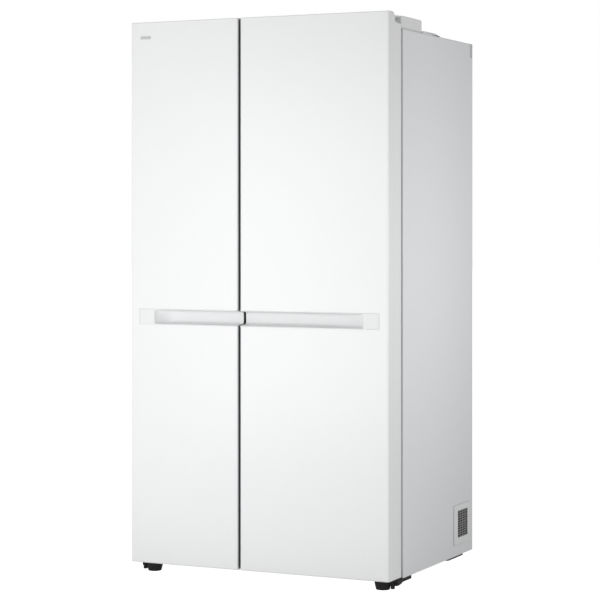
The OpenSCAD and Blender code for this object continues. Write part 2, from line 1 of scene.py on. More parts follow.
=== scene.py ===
# Side by side refrigerator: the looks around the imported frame. Lengths are in metres.
import json
import math
import bmesh
import bpy
import numpy as np
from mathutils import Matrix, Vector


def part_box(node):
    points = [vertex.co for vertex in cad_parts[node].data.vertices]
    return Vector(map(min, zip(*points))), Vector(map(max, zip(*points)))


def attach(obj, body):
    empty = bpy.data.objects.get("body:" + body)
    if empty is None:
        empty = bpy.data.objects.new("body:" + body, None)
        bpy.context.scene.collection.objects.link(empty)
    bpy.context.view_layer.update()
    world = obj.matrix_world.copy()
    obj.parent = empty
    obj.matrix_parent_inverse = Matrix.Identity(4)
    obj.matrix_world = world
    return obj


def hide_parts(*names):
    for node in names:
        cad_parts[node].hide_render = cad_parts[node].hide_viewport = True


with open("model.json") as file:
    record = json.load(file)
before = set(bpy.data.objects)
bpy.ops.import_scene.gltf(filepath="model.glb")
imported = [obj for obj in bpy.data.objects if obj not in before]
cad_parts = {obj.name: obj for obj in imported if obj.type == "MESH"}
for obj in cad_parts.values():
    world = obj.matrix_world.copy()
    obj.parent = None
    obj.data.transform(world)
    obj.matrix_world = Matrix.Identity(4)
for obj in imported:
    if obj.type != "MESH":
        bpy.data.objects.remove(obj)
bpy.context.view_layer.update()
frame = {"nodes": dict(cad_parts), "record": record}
print("frame loaded:", len(frame["nodes"]), "nodes")

# The camera, the lights and the studio round them
cameraSet = {"place": (2.858, -6.083, 1.141), "turn": 25.32, "lens": 120.8, "drop": -0.1277}
lightSet = {
    "key": {"place": (-0.55, -2.25, 1.00), "aim": (-0.35, -0.36, 0.98), "size": (1.3, 1.5), "power": 17},
    "side": {"place": (1.65, -0.12, 1.02), "aim": (0.45, -0.02, 1.00), "size": (0.6, 0.5), "power": 5.9},
    "top": {"place": (0.2, -0.6, 3.6), "aim": (0, 0, 1.0), "size": (2.4, 2.4), "power": 8},
}
worldSet = {"seen": 1.0, "given": 0.34}


def makeCamera(s):
    data = bpy.data.cameras.new("camera")
    data.lens = s["lens"]
    data.shift_y = s["drop"]
    cam = bpy.data.objects.new("camera", data)
    cam.location = s["place"]
    cam.rotation_euler = (math.radians(90), 0, math.radians(s["turn"]))
    bpy.context.scene.collection.objects.link(cam)
    bpy.context.scene.camera = cam


def makeLight(name, s):
    data = bpy.data.lights.new(name, "AREA")
    data.shape = "RECTANGLE"
    data.size, data.size_y = s["size"]
    data.energy = s["power"]
    lamp = bpy.data.objects.new(name, data)
    lamp.location = s["place"]
    lamp.visible_camera = False
    away = lamp.location - type(lamp.location)(s["aim"])
    lamp.rotation_euler = away.to_track_quat("Z", "Y").to_euler()
    bpy.context.scene.collection.objects.link(lamp)


# White behind the object, a softer grey light all round it
def makeWorld(s):
    world = bpy.data.worlds.new("studio")
    bpy.context.scene.world = world
    world.use_nodes = True
    nodes, links = world.node_tree.nodes, world.node_tree.links
    nodes.clear()
    out = nodes.new("ShaderNodeOutputWorld")
    path = nodes.new("ShaderNodeLightPath")
    mix = nodes.new("ShaderNodeMixShader")
    for i, level in enumerate((s["given"], s["seen"])):
        back = nodes.new("ShaderNodeBackground")
        back.inputs["Color"].default_value = (level, level, level, 1)
        links.new(back.outputs[0], mix.inputs[1 + i])
    links.new(path.outputs["Is Camera Ray"], mix.inputs[0])
    links.new(mix.outputs[0], out.inputs[0])
    bpy.context.scene.view_settings.view_transform = "Standard"


makeCamera(cameraSet)
makeWorld(worldSet)
for name, s in lightSet.items():
    makeLight(name, s)
print("camera and lights made")

# Shader groups that several finishes share


def makeGroup(name, inputs, outputs):
    group = bpy.data.node_groups.new(name, "ShaderNodeTree")
    for socket, kind, value in inputs:
        s = group.interface.new_socket(name=socket, in_out="INPUT", socket_type="NodeSocket" + kind)
        s.default_value = value
    for socket, kind in outputs:
        group.interface.new_socket(name=socket, in_out="OUTPUT", socket_type="NodeSocket" + kind)
    return group, group.nodes.new("NodeGroupInput"), group.nodes.new("NodeGroupOutput")


def addMath(tree, kind, a, b=None, clamp=False):
    node = tree.nodes.new("ShaderNodeMath")
    node.operation = kind
    node.use_clamp = clamp
    for i, v in enumerate((a, b)):
        if v is None:
            continue
        if isinstance(v, (int, float)):
            node.inputs[i].default_value = v
        else:
            tree.links.new(v, node.inputs[i])
    return node.outputs[0]


# A value times a factor, plus a base
def addScaled(tree, value, factor, base, clamp=False):
    return addMath(tree, "ADD", addMath(tree, "MULTIPLY", value, factor), base, clamp)


def objectPoint(tree):
    return tree.nodes.new("ShaderNodeTexCoord").outputs["Object"]


def addNoise(tree, vector, scale, detail=3.0, rough=0.55):
    node = tree.nodes.new("ShaderNodeTexNoise")
    node.inputs["Detail"].default_value = detail
    node.inputs["Roughness"].default_value = rough
    tree.links.new(vector, node.inputs["Vector"])
    if isinstance(scale, (int, float)):
        node.inputs["Scale"].default_value = scale
    else:
        tree.links.new(scale, node.inputs["Scale"])
    return node.outputs["Fac"]


def addMix(tree, factor, a, b):
    node = tree.nodes.new("ShaderNodeMix")
    node.data_type = "RGBA"
    for socket, v in ((node.inputs[0], factor), (node.inputs[6], a), (node.inputs[7], b)):
        if isinstance(v, (int, float, tuple)):
            socket.default_value = v
        else:
            tree.links.new(v, socket)
    return node.outputs[2]


# Colour that drifts: base times one plus amount times (broad noise + fine noise - 1)
def mottleGroup():
    g, gin, gout = makeGroup("mottle", [("Base", "Color", (1, 1, 1, 1)), ("Scale", "Float", 4.0),
        ("Amount", "Float", 0.03)], [("Color", "Color"), ("Value", "Float")])
    at = objectPoint(g)
    broad = addNoise(g, at, gin.outputs["Scale"], 3.0)
    fine = addNoise(g, at, addMath(g, "MULTIPLY", gin.outputs["Scale"], 9.0), 4.0)
    drift = addMath(g, "SUBTRACT", addMath(g, "ADD", broad, fine), 1.0)
    scaled = addScaled(g, drift, gin.outputs["Amount"], 1.0)
    node = g.nodes.new("ShaderNodeVectorMath")
    node.operation = "SCALE"
    g.links.new(gin.outputs["Base"], node.inputs[0])
    g.links.new(scaled, node.inputs["Scale"])
    g.links.new(node.outputs[0], gout.inputs["Color"])
    g.links.new(drift, gout.inputs["Value"])
    return g


# Sprayed or moulded skin: a slow ripple plus a fine pebble, as one height
def peelGroup():
    g, gin, gout = makeGroup("peel", [("Scale", "Float", 400.0), ("Ripple", "Float", 0.3)],
        [("Height", "Float")])
    at = objectPoint(g)
    fine = addNoise(g, at, gin.outputs["Scale"], 2.0)
    slow = addNoise(g, at, addMath(g, "MULTIPLY", gin.outputs["Scale"], 0.02), 1.0)
    g.links.new(addScaled(g, slow, gin.outputs["Ripple"], fine), gout.inputs["Height"])
    return g


# Long scratches or rolling marks along one axis: noise on stretched coordinates
def grainGroup():
    g, gin, gout = makeGroup("grain", [("Stretch", "Vector", (1, 1, 60)), ("Scale", "Float", 8.0)],
        [("Value", "Float")])
    at = objectPoint(g)
    node = g.nodes.new("ShaderNodeVectorMath")
    node.operation = "MULTIPLY"
    g.links.new(at, node.inputs[0])
    g.links.new(gin.outputs["Stretch"], node.inputs[1])
    g.links.new(addNoise(g, node.outputs[0], gin.outputs["Scale"], 4.0, 0.7), gout.inputs["Value"])
    return g


# Wear where a piece's own edge attribute is high, broken up by noise
def wearGroup():
    g, gin, gout = makeGroup("wear", [("Amount", "Float", 0.5), ("Scale", "Float", 90.0)],
        [("Mask", "Float")])
    edge = g.nodes.new("ShaderNodeAttribute")
    edge.attribute_name = "edge"
    at = objectPoint(g)
    spots = addMath(g, "SUBTRACT", addNoise(g, at, gin.outputs["Scale"], 5.0, 0.7), 0.42)
    broken = addMath(g, "MULTIPLY", spots, 5.0, True)
    onEdge = addMath(g, "MULTIPLY", edge.outputs["Fac"], broken)
    worn = addMath(g, "MULTIPLY", onEdge, gin.outputs["Amount"], True)
    g.links.new(worn, gout.inputs["Mask"])
    return g


# Fine dust on what faces up: the normal's height times noise
def dustGroup():
    g, gin, gout = makeGroup("dust", [("Amount", "Float", 0.2)], [("Mask", "Float")])
    split = g.nodes.new("ShaderNodeSeparateXYZ")
    g.links.new(g.nodes.new("ShaderNodeNewGeometry").outputs["Normal"], split.inputs[0])
    at = objectPoint(g)
    up = addMath(g, "MULTIPLY", addMath(g, "SUBTRACT", split.outputs["Z"], 0.5), 2.0, True)
    settled = addMath(g, "MULTIPLY", up, addNoise(g, at, 23.0, 5.0, 0.7))
    mask = addMath(g, "MULTIPLY", settled, gin.outputs["Amount"])
    g.links.new(mask, gout.inputs["Mask"])
    return g


groups = {"mottle": mottleGroup(), "peel": peelGroup(), "grain": grainGroup(), "wear": wearGroup(),
    "dust": dustGroup()}


def placeGroup(tree, name, **values):
    node = tree.nodes.new("ShaderNodeGroup")
    node.node_tree = groups[name]
    for socket, value in values.items():
        node.inputs[socket].default_value = value
    return node


# Finishes. color, rough: the middle values. mottle: scale and amount. peel: scale and depth in metres.
# wear: amount and the colour under the surface. grain: stretch along each axis and its depth.
finishes = {
    "doorEnamel": {"color": (0.90, 0.905, 0.91), "rough": 0.34, "mottle": (2.2, 0.012),
    "peel": (520, 0.00002), "coat": 0.25, "wear": (0.25, (0.78, 0.78, 0.77))},
    "caseEnamel": {"color": (0.84, 0.85, 0.862), "rough": 0.42, "mottle": (3.0, 0.02),
    "peel": (700, 0.00003),
        "grain": ((1, 14, 1.2), 2.4, 0.0005), "wear": (0.3, (0.6, 0.6, 0.6)), "dust": 0.25},
    "whitePlastic": {"color": (0.855, 0.86, 0.865), "rough": 0.36, "mottle": (6, 0.015), "peel": (1500,
    0.00001), "wear": (0.3, (0.95, 0.95, 0.95)), "dust": 0.1},
    "capPlastic": {"color": (0.70, 0.71, 0.72), "rough": 0.45, "mottle": (8, 0.02), "peel": (1800, 0.00002),
        "wear": (0.3, (0.85, 0.85, 0.85)), "dust": 0.2},
    "greyPlastic": {"color": (0.36, 0.37, 0.38), "rough": 0.55, "mottle": (9, 0.04), "peel": (1600, 0.00004),
        "wear": (0.4, (0.55, 0.55, 0.55)), "dust": 0.3},
    "spacerPlastic": {"color": (0.60, 0.605, 0.61), "rough": 0.5, "mottle": (9, 0.04), "peel": (1600,
    0.00004), "wear": (0.4, (0.6, 0.6, 0.6)), "dust": 0.25},
    # A dark grey for the louvres that paints the shade inside the vent's slots
    "grillePlastic": {"color": (0.30, 0.30, 0.305), "rough": 0.5, "mottle": (9, 0.05), "peel": (1600,
    0.00003), "wear": (0.3, (0.5, 0.5, 0.5))},
    # A dark grey that paints shade: the shadow line round the vent and the shade in the gap between the
    # doors
    "trimPlastic": {"color": (0.20, 0.20, 0.205), "rough": 0.5, "mottle": (9, 0.06), "peel": (1600, 0.00003),
        "wear": (0.3, (0.2, 0.2, 0.2))},
    "linerPlastic": {"color": (0.86, 0.87, 0.875), "rough": 0.3, "mottle": (2.5, 0.015),
    "peel": (600, 0.00002), "wear": (0.15, (0.95, 0.95, 0.95)), "dust": 0.04},
    "gasketRubber": {"color": (0.34, 0.34, 0.345), "rough": 0.6, "mottle": (12, 0.05), "peel": (2000,
    0.00003), "wear": (0.4, (0.6, 0.6, 0.58))},
    "blackPlastic": {"color": (0.012, 0.012, 0.013), "rough": 0.55, "spec": 0.22, "mottle": (14, 0.15),
        "peel": (1500, 0.00005), "wear": (0.35, (0.07, 0.07, 0.07)), "dust": 0.04},
    "blackRubber": {"color": (0.018, 0.018, 0.018), "rough": 0.75, "mottle": (20, 0.2), "peel": (2500,
    0.00006), "wear": (0.4, (0.08, 0.08, 0.08)), "dust": 0.2},
    "blackEnamel": {"color": (0.02, 0.02, 0.021), "rough": 0.35, "mottle": (10, 0.1), "peel": (500, 0.00004),
        "coat": 0.3, "wear": (0.7, (0.35, 0.34, 0.33)), "dust": 0.25},
    "zincSteel": {"color": (0.62, 0.62, 0.60), "rough": 0.33, "metal": 1.0, "mottle": (30, 0.10),
        "grain": ((1, 30, 1), 18, 0.00002), "wear": (0.5, (0.85, 0.85, 0.84)), "dust": 0.1},
    "galvanised": {"color": (0.56, 0.575, 0.59), "rough": 0.42, "metal": 1.0, "mottle": (16, 0.16),
        "grain": ((1, 1, 24), 12, 0.00003), "wear": (0.4, (0.8, 0.8, 0.8)), "dust": 0.35},
    "aluminium": {"color": (0.78, 0.79, 0.8), "rough": 0.3, "metal": 1.0, "mottle": (25, 0.08),
        "grain": ((1, 1, 30), 20, 0.00002), "wear": (0.3, (0.95, 0.95, 0.95)), "dust": 0.1},
    "badgeMetal": {"color": (0.62, 0.62, 0.63), "rough": 0.35, "metal": 0.15, "mottle": (60, 0.06),
        "grain": ((40, 1, 1), 50, 0.00001), "wear": (0.4, (0.8, 0.8, 0.8))},
    "lampLens": {"color": (0.92, 0.92, 0.88), "rough": 0.38, "mottle": (12, 0.02), "peel": (300, 0.0001),
        "wear": (0.1, (1, 1, 1)), "glow": (1.0, 0.97, 0.9), "glowPower": 0.6},
    "foam": {"color": (0.78, 0.66, 0.36), "rough": 0.85, "mottle": (30, 0.2), "peel": (300, 0.0006),
        "wear": (0.2, (0.85, 0.75, 0.5)), "dust": 0.1},
    "shelfGlass": {"color": (0.86, 0.95, 0.93), "rough": 0.04, "mottle": (5, 0.01), "peel": (60, 0.000004),
        "clear": 1.0, "wear": (0.1, (0.9, 0.97, 0.95))},
    "clearPlastic": {"color": (0.93, 0.95, 0.96), "rough": 0.12, "mottle": (7, 0.015),
    "peel": (120, 0.00002), "clear": 0.8, "wear": (0.25, (0.97, 0.98, 0.98))},
}


# How much each effect adds to the roughness, the coat's roughness and the dust's colour
sharedSet = {"mottle": 0.12, "wear": 0.15, "dust": 0.4, "coat": 0.25, "dustColor": (0.6, 0.58, 0.55)}


# One finish: mottled colour, worn edges and dust over it, roughness that follows them, and bump
def makeFinish(name, s):
    mat = bpy.data.materials.new(name)
    mat.use_nodes = True
    tree = mat.node_tree
    links = tree.links
    shader = tree.nodes["Principled BSDF"]
    shader.inputs["Metallic"].default_value = s.get("metal", 0.0)
    shader.inputs["Coat Weight"].default_value = s.get("coat", 0.0)
    shader.inputs["Coat Roughness"].default_value = sharedSet["coat"]
    shader.inputs["Transmission Weight"].default_value = s.get("clear", 0.0)
    scale, amount = s["mottle"]
    mottle = placeGroup(tree, "mottle", Base=(*s["color"], 1), Scale=scale, Amount=amount)
    wear = placeGroup(tree, "wear", Amount=s["wear"][0])
    color = addMix(tree, wear.outputs["Mask"], mottle.outputs["Color"], (*s["wear"][1], 1))
    rough = addScaled(tree, mottle.outputs["Value"], sharedSet["mottle"], s["rough"])
    rough = addScaled(tree, wear.outputs["Mask"], sharedSet["wear"], rough, True)
    if "dust" in s:
        dust = placeGroup(tree, "dust", Amount=s["dust"])
        color = addMix(tree, dust.outputs["Mask"], color, (*sharedSet["dustColor"], 1))
        rough = addScaled(tree, dust.outputs["Mask"], sharedSet["dust"], rough, True)
    links.new(color, shader.inputs["Base Color"])
    links.new(rough, shader.inputs["Roughness"])
    shader.inputs["Specular IOR Level"].default_value = s.get("spec", 0.5)
    heights = []
    if "peel" in s:
        peel = placeGroup(tree, "peel", Scale=s["peel"][0])
        heights.append((peel.outputs["Height"], s["peel"][1]))
    if "grain" in s:
        grain = placeGroup(tree, "grain", Stretch=s["grain"][0], Scale=s["grain"][1])
        heights.append((grain.outputs["Value"], s["grain"][2]))
    normal = None
    for height, depth in heights:
        bump = tree.nodes.new("ShaderNodeBump")
        bump.inputs["Distance"].default_value = depth
        links.new(height, bump.inputs["Height"])
        if normal is not None:
            links.new(normal, bump.inputs["Normal"])
        normal = bump.outputs[0]
    links.new(normal, shader.inputs["Normal"])
    if "glow" in s:
        shader.inputs["Emission Color"].default_value = (*s["glow"], 1)
        shader.inputs["Emission Strength"].default_value = s["glowPower"]
    return mat


finish = {name: makeFinish(name, s) for name, s in finishes.items()}

nodeFinish = {
    "white_enamel": "doorEnamel", "galvanised_steel": "galvanised", "insulating_foam": "foam",
    "liner_plastic": "linerPlastic", "zinc_steel": "zincSteel", "black_enamel": "blackEnamel",
    "white_plastic": "whitePlastic", "grey_plastic": "greyPlastic", "shelf_glass": "shelfGlass",
    "clear_plastic": "clearPlastic", "gasket_rubber": "gasketRubber", "black_plastic": "blackPlastic",
    "black_rubber": "blackRubber", "lamp_lens": "lampLens", "badge_metal": "badgeMetal",
}
# Nodes whose finish differs from their slot's
ownFinish = {"rear_top_spacer": "spacerPlastic", "lower_hinge_left": "blackPlastic",
    "lower_hinge_right": "blackPlastic",
    "case_wrapper": "caseEnamel", "front_frame": "caseEnamel", "fridge_door_caps": "capPlastic",
    "freezer_door_caps": "capPlastic", "evaporator": "aluminium", "evaporator_fan": "linerPlastic"}
slotOf = {part["node"]: part["material_slot"] for part in frame["record"]["subparts"]}


def finishOf(node):
    return finish[ownFinish.get(node, nodeFinish[slotOf[node]])]


for node, piece in frame["nodes"].items():
    piece.data.materials.clear()
    piece.data.materials.append(finishOf(node))
print("finishes made:", len(finish))


# Shapes: each is a pair of a point array and a face list


# Turns (a, b, c) rows into x, y, z, where c runs along the named axis
def along(axis, points):
    a, b, c = np.moveaxis(np.asarray(points, float), -1, 0)
    return np.stack({"x": (c, a, b), "y": (a, c, b), "z": (a, b, c)}[axis], -1)


# Faces turned so that they point away from a centre, or from the points' middle when none is given
def facing(points, faces, centre=None):
    quads = np.array([f[:4] if len(f) > 3 else (*f, f[0]) for f in faces])
    p, q, r, s = (points[quads[:, i]] for i in range(4))
    normals = np.cross(r - p, s - q)
    middle = (p + q + r + s) / 4
    away = middle - (points.mean(0) if centre is None else np.asarray(centre))
    if (normals * away).sum() < 0:
        faces = [tuple(f)[::-1] for f in faces]
    return points, faces


# A grid of quads over rows and columns of points, with the faces outside keep left out
def sheet(grid, centre, keep=None):
    k, n = grid.shape[:2]
    i, j = np.meshgrid(np.arange(k - 1), np.arange(n - 1), indexing="ij")
    if keep is not None:
        i, j = i[keep], j[keep]
    first = (i * n + j).ravel()
    faces = np.stack([first, first + 1, first + n + 1, first + n], -1)
    return facing(grid.reshape(-1, 3), [tuple(f) for f in faces.tolist()], centre)


# Faces turned so that a closed skin's volume, the sum of a . (b x c) over its triangles, isn't negative
def outward(points, faces):
    tris = np.array([(f[0], f[m], f[m + 1]) for f in faces for m in range(1, len(f) - 1)])
    a, b, c = (points[tris[:, m]] - points.mean(0) for m in range(3))
    return points, [f[::-1] for f in faces] if (a * np.cross(b, c)).sum() < 0 else faces


# Closed rings joined into one skin, its ends capped, or wrapped round into a ring
def loft(rings, wrap=False, capped=True):
    rings = np.asarray(rings, float)
    k, n = rings.shape[:2]
    i, j = np.meshgrid(np.arange(k if wrap else k - 1), np.arange(n), indexing="ij")
    i, j = i.ravel(), j.ravel()
    after, above = (j + 1) % n, (i + 1) % k
    faces = [tuple(f) for f in np.stack([i * n + j, i * n + after, above * n + after, above * n + j],
        -1).tolist()]
    if capped and not wrap:
        faces += [tuple(range(n))[::-1], tuple(range((k - 1) * n, k * n))]
    return outward(rings.reshape(-1, 3), faces)


# A rectangle whose corners are quarter circles, with extra points along its straight sides
def roundRect(lo, hi, r, seg=6, side=0):
    (x0, y0), (x1, y1) = lo, hi
    r = max(min(r, (x1 - x0) / 2.001, (y1 - y0) / 2.001), 1e-5)
    turn = np.linspace(0, math.pi / 2, seg + 1)
    corners = [(x1 - r, y0 + r, -90), (x1 - r, y1 - r, 0), (x0 + r, y1 - r, 90), (x0 + r, y0 + r, 180)]
    arcs = [np.stack([cx + r * np.cos(turn + math.radians(a)), cy + r * np.sin(turn + math.radians(a))], -1)
        for cx, cy, a in corners]
    if side:
        share = np.linspace(0, 1, side + 2)[1:-1, None]
        arcs = [np.concatenate([arc, arc[-1] + share * (arcs[(m + 1) % 4][0] - arc[-1])])
            for m, arc in enumerate(arcs)]
    return np.concatenate(arcs)


# A skin through rounded rectangles, each given as its corners, corner radius and place along the axis
def skinOf(axis, steps, seg=6, side=0, wrap=False):
    rings = []
    for lo, hi, r, at in steps:
        flat = roundRect(lo, hi, r, seg, side)
        rings.append(np.column_stack([flat, np.full(len(flat), at)]))
    return loft(along(axis, np.array(rings)), wrap)


# Steps of a rectangle that shrinks by inset at each place; profile rows are (inset, place)
def insetSteps(lo, hi, r, profile):
    return [((lo[0] + i, lo[1] + i), (hi[0] - i, hi[1] - i), max(r - i, 0.0004), at) for i, at in profile]


# A quarter round between two directions: insets and places of a fillet of radius r
def fillet(r, start, sign, rising=True, n=4):
    t = np.linspace(0, math.pi / 2, n + 1)
    inset = r * (1 - np.sin(t)) if rising else r * (1 - np.cos(t))
    place = r * (1 - np.cos(t)) if rising else r * np.sin(t)
    return list(zip(inset, start + sign * place))


# A block whose edges are all rounded by r: a fillet up, a straight wall, a fillet over
def softBlock(lo, hi, r, axis="z", corner=None, n=3):
    c = "xyz".index(axis)
    a, b = [m for m in range(3) if m != c]
    profile = fillet(r, lo[c], 1, True, n) + fillet(r, hi[c] - r, 1, False, n)
    return skinOf(axis, insetSteps((lo[a], lo[b]), (hi[a], hi[b]), corner or r, profile), n + 1)


# An open tray: up the outside, over a round rim, down the inside, with a filleted floor
def tray(lo, hi, corner, wall, floorRound, draft=0.0, side=0):
    rim = wall / 2
    t = np.linspace(0, math.pi, 7)
    outside = [(draft + i, z) for i, z in fillet(floorRound, lo[2], 1)]
    over = list(zip(rim - rim * np.cos(t), hi[2] - rim + rim * np.sin(t)))
    inside = [(wall + draft + i, z) for i, z in fillet(floorRound, lo[2] + wall, 1)][::-1]
    return skinOf("z", insetSteps((lo[0], lo[1]), (hi[0], hi[1]), corner, outside + over + inside), 6, side)


# A profile of radius and height turned once about an axis; ripple makes the radius wavy
def revolve(profile, centre, axis="z", n=48, ripple=(0, 0.0)):
    turn = np.linspace(0, 2 * math.pi, n, endpoint=False)
    r, z = np.array(profile, float).T
    swell = 1 + ripple[1] * np.cos(ripple[0] * turn)
    rings = np.stack([r[:, None] * swell * np.cos(turn), r[:, None] * swell * np.sin(turn),
        np.repeat(z[:, None], n, 1)], -1)
    points, faces = loft(along(axis, rings))
    return points + np.asarray(centre), faces


# A round bar of radius r along a path, its rings carried from point to point without twist
def pipe(path, r, n=12):
    path = np.asarray(path, float)
    ahead = np.gradient(path, axis=0)
    ahead /= np.linalg.norm(ahead, axis=1)[:, None]
    side = np.cross(ahead[0], (0.31, 0.52, 0.79))
    sides = []
    for d in ahead:
        side = side - d * (side @ d)
        side /= np.linalg.norm(side)
        sides.append(side)
    sides = np.array(sides)
    up = np.cross(ahead, sides)
    turn = np.linspace(0, 2 * math.pi, n, endpoint=False)[:, None]
    rings = path[:, None] + r * (np.cos(turn) * sides[:, None] + np.sin(turn) * up[:, None])
    return loft(rings)


# A prism of any outline along an axis, its two ends rounded by r
def softPrism(axis, outline, a0, a1, r, n=3):
    flat = np.asarray(outline, float)
    ahead = np.roll(flat, -1, 0) - np.roll(flat, 1, 0)
    inward = np.column_stack([-ahead[:, 1], ahead[:, 0]]) / np.linalg.norm(ahead, axis=1)[:, None]
    if (np.roll(flat[:, 0], -1) * flat[:, 1] - flat[:, 0] * np.roll(flat[:, 1], -1)).sum() > 0:
        inward = -inward
    steps = fillet(r, a0, 1, True, n) + fillet(r, a1 - r, 1, False, n)
    rings = [np.column_stack([flat + inset * inward, np.full(len(flat), at)]) for inset, at in steps]
    return loft(along(axis, np.array(rings)))


# Corner points joined by arcs of radius r
def roundPath(corners, r, n=6):
    corners = np.asarray(corners, float)
    out = [corners[0]]
    for before, here, after in zip(corners[:-2], corners[1:-1], corners[2:]):
        a, b = before - here, after - here
        a, b = a / np.linalg.norm(a), b / np.linalg.norm(b)
        t = np.linspace(0, 1, n)[:, None]
        start, end = here + a * r, here + b * r
        out.extend((1 - t) ** 2 * start + 2 * t * (1 - t) * here + t ** 2 * end)
    out.append(corners[-1])
    return np.array(out)


# The shape seen in a mirror across x = 0, its faces turned back the right way
def flipped(shape):
    return shape[0] * (-1, 1, 1), [tuple(f)[::-1] for f in shape[1]]


def inMetres(rows):
    return [(a / 1000, b / 1000) for a, b in rows]


# How far the faces round each point disagree, from 0 on a flat to 1 on an edge
def edgeValues(points, faces):
    total = np.zeros_like(points)
    count = np.zeros(len(points))
    for size in set(len(f) for f in faces):
        index = np.array([f for f in faces if len(f) == size])
        normal = np.cross(points[index[:, 1]] - points[index[:, 0]], points[index[:, 2]] - points[index[:,
            0]])
        if size > 3:
            normal += np.cross(points[index[:, 2]] - points[index[:, 0]], points[index[:, 3]]
                - points[index[:, 0]])
        normal /= np.maximum(np.linalg.norm(normal, axis=1), 1e-12)[:, None]
        np.add.at(total, index.ravel(), np.repeat(normal, size, 0))
        np.add.at(count, index.ravel(), 1)
    return np.clip((1 - np.linalg.norm(total, axis=1) / np.maximum(count, 1)) * 40, 0, 1)


# Corner normals weighted by face area, so a flat stays flat up to its rounded edge
def flatNormals(piece):
    weigh = piece.modifiers.new("normals", "WEIGHTED_NORMAL")
    weigh.mode = "FACE_AREA"
    weigh.weight = 100
    weigh.keep_sharp = True


# The edge attribute, smooth shading up to the sharp edges, and an object for the mesh
def placeMesh(mesh, points, faces):
    edge = mesh.attributes.new("edge", "FLOAT", "POINT")
    edge.data.foreach_set("value", edgeValues(points, faces).astype(np.float32))
    mesh.shade_smooth()
    mesh.set_sharp_from_angle(angle=math.radians(38))
    piece = bpy.data.objects.new(mesh.name, mesh)
    bpy.context.scene.collection.objects.link(piece)
    return piece


# One object from several shapes, on a body, in place of CAD nodes
def makePiece(name, shapes, look, body, nodes=(), thick=None, mirror=False):
    if mirror:
        shapes = [flipped(s) for s in shapes]
    points, faces, start = [], [], 0
    for p, f in shapes:
        points.append(p)
        faces += [tuple(v + start for v in face) for face in f]
        start += len(p)
    points = np.concatenate(points)
    mesh = bpy.data.meshes.new(name)
    mesh.from_pydata(points.tolist(), [], faces)
    mesh.update()
    piece = placeMesh(mesh, points, faces)
    if thick:
        wall = piece.modifiers.new("wall", "SOLIDIFY")
        wall.thickness = thick
        wall.offset = -1
        wall.use_even_offset = True
    flatNormals(piece)
    mesh.materials.append(finish[look])
    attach(piece, body)
    if nodes:
        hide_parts(*nodes)


# A merged copy of a CAD node with its sharp edges rounded, worn by how sharp each edge was
def softenNode(node, body, width):
    source = frame["nodes"][node].data
    points = np.empty(len(source.vertices) * 3)
    source.vertices.foreach_get("co", points)
    points = points.reshape(-1, 3)
    tris = np.empty(len(source.polygons) * 3, int)
    source.polygons.foreach_get("vertices", tris)
    keys, index = np.unique(np.round(points, 6), axis=0, return_inverse=True)
    tris = index.reshape(-1)[tris].reshape(-1, 3)
    tris = tris[(tris[:, 0] != tris[:, 1]) & (tris[:, 1] != tris[:, 2]) & (tris[:, 2] != tris[:, 0])]
    work = bmesh.new()
    mesh = bpy.data.meshes.new(node + "Soft")
    mesh.from_pydata(keys.tolist(), [], tris.tolist())
    work.from_mesh(mesh)
    bmesh.ops.dissolve_limit(work, angle_limit=math.radians(1), verts=work.verts, edges=work.edges)
    sharp = [e for e in work.edges if e.is_manifold and e.calc_face_angle(0) > math.radians(35)]
    bmesh.ops.bevel(work, geom=sharp, offset=width, segments=2, affect="EDGES", clamp_overlap=True)
    work.to_mesh(mesh)
    work.free()
    points = np.empty(len(mesh.vertices) * 3)
    mesh.vertices.foreach_get("co", points)
    piece = placeMesh(mesh, points.reshape(-1, 3), [tuple(p.vertices) for p in mesh.polygons])
    mesh.materials.append(finishOf(node))
    flatNormals(piece)
    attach(piece, body)
    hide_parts(node)


print("shapes ready")

# Doors, drawn hinged on +X and mirrored for the freezer
box = {n: (np.array(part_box(n)[0]), np.array(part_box(n)[1])) for n in frame["nodes"]}
half = box["case_wrapper"][1][0]
doorFront = box["fridge_door_skin"][0][1]
doorBack = box["fridge_door_skin"][1][1]
caseFront = box["case_wrapper"][0][1]
gripLo, gripHi = box["fridge_door_grip"]
notchFront = doorFront + 0.050
notchLow = box["fridge_door_bushes"][1][2]

# trim: the thickness of the dark strip that paints the shade in the gap between the doors
doorSet = {"corner": 0.005, "flange": 0.012, "steel": 0.001, "notchRound": 0.018, "trim": 0.0005}
gripSet = {"pad": 0.052, "ramp": 0.110, "start": 0.0077, "depth": 0.043, "ease": 3.4, "wall": 0.0016,
    "rim": [(0.0001, 0.0004), (0.0001, 0.0016), (0.0010, 0.0016), (0.0011, 0.0014), (0.0012, 0.0009),
        (0.0014, 0.0004), (0.0018, 0.0001), (0.0024, 0.0)]}


# Plan path of a door's steel skin, from one rear flange round the front to the other
def skinPath(free):
    r = doorSet["corner"]
    t = np.linspace(0, math.pi / 2, 9)
    left = np.stack([free + r - r * np.cos(t), doorFront + r - r * np.sin(t)], -1)
    right = np.stack([half - r + r * np.sin(t), doorFront + r - r * np.cos(t)], -1)
    steel = doorSet["steel"]
    start = [(free + doorSet["flange"], doorBack), (free + 0.001, doorBack), (free, doorBack - 0.001),
        (free, gripHi[1] + 0.001), (free, doorFront + 0.02)]
    notchLine = [(half, notchFront - doorSet["notchRound"] * (1 - math.sin(a))) for a in t]
    end = [(half, doorBack - steel), (half - 0.001, doorBack), (half - doorSet["flange"], doorBack)]
    return np.concatenate([start, left, [(gripHi[0], doorFront)], right, [(half, doorFront + 0.02)],
        notchLine, end])


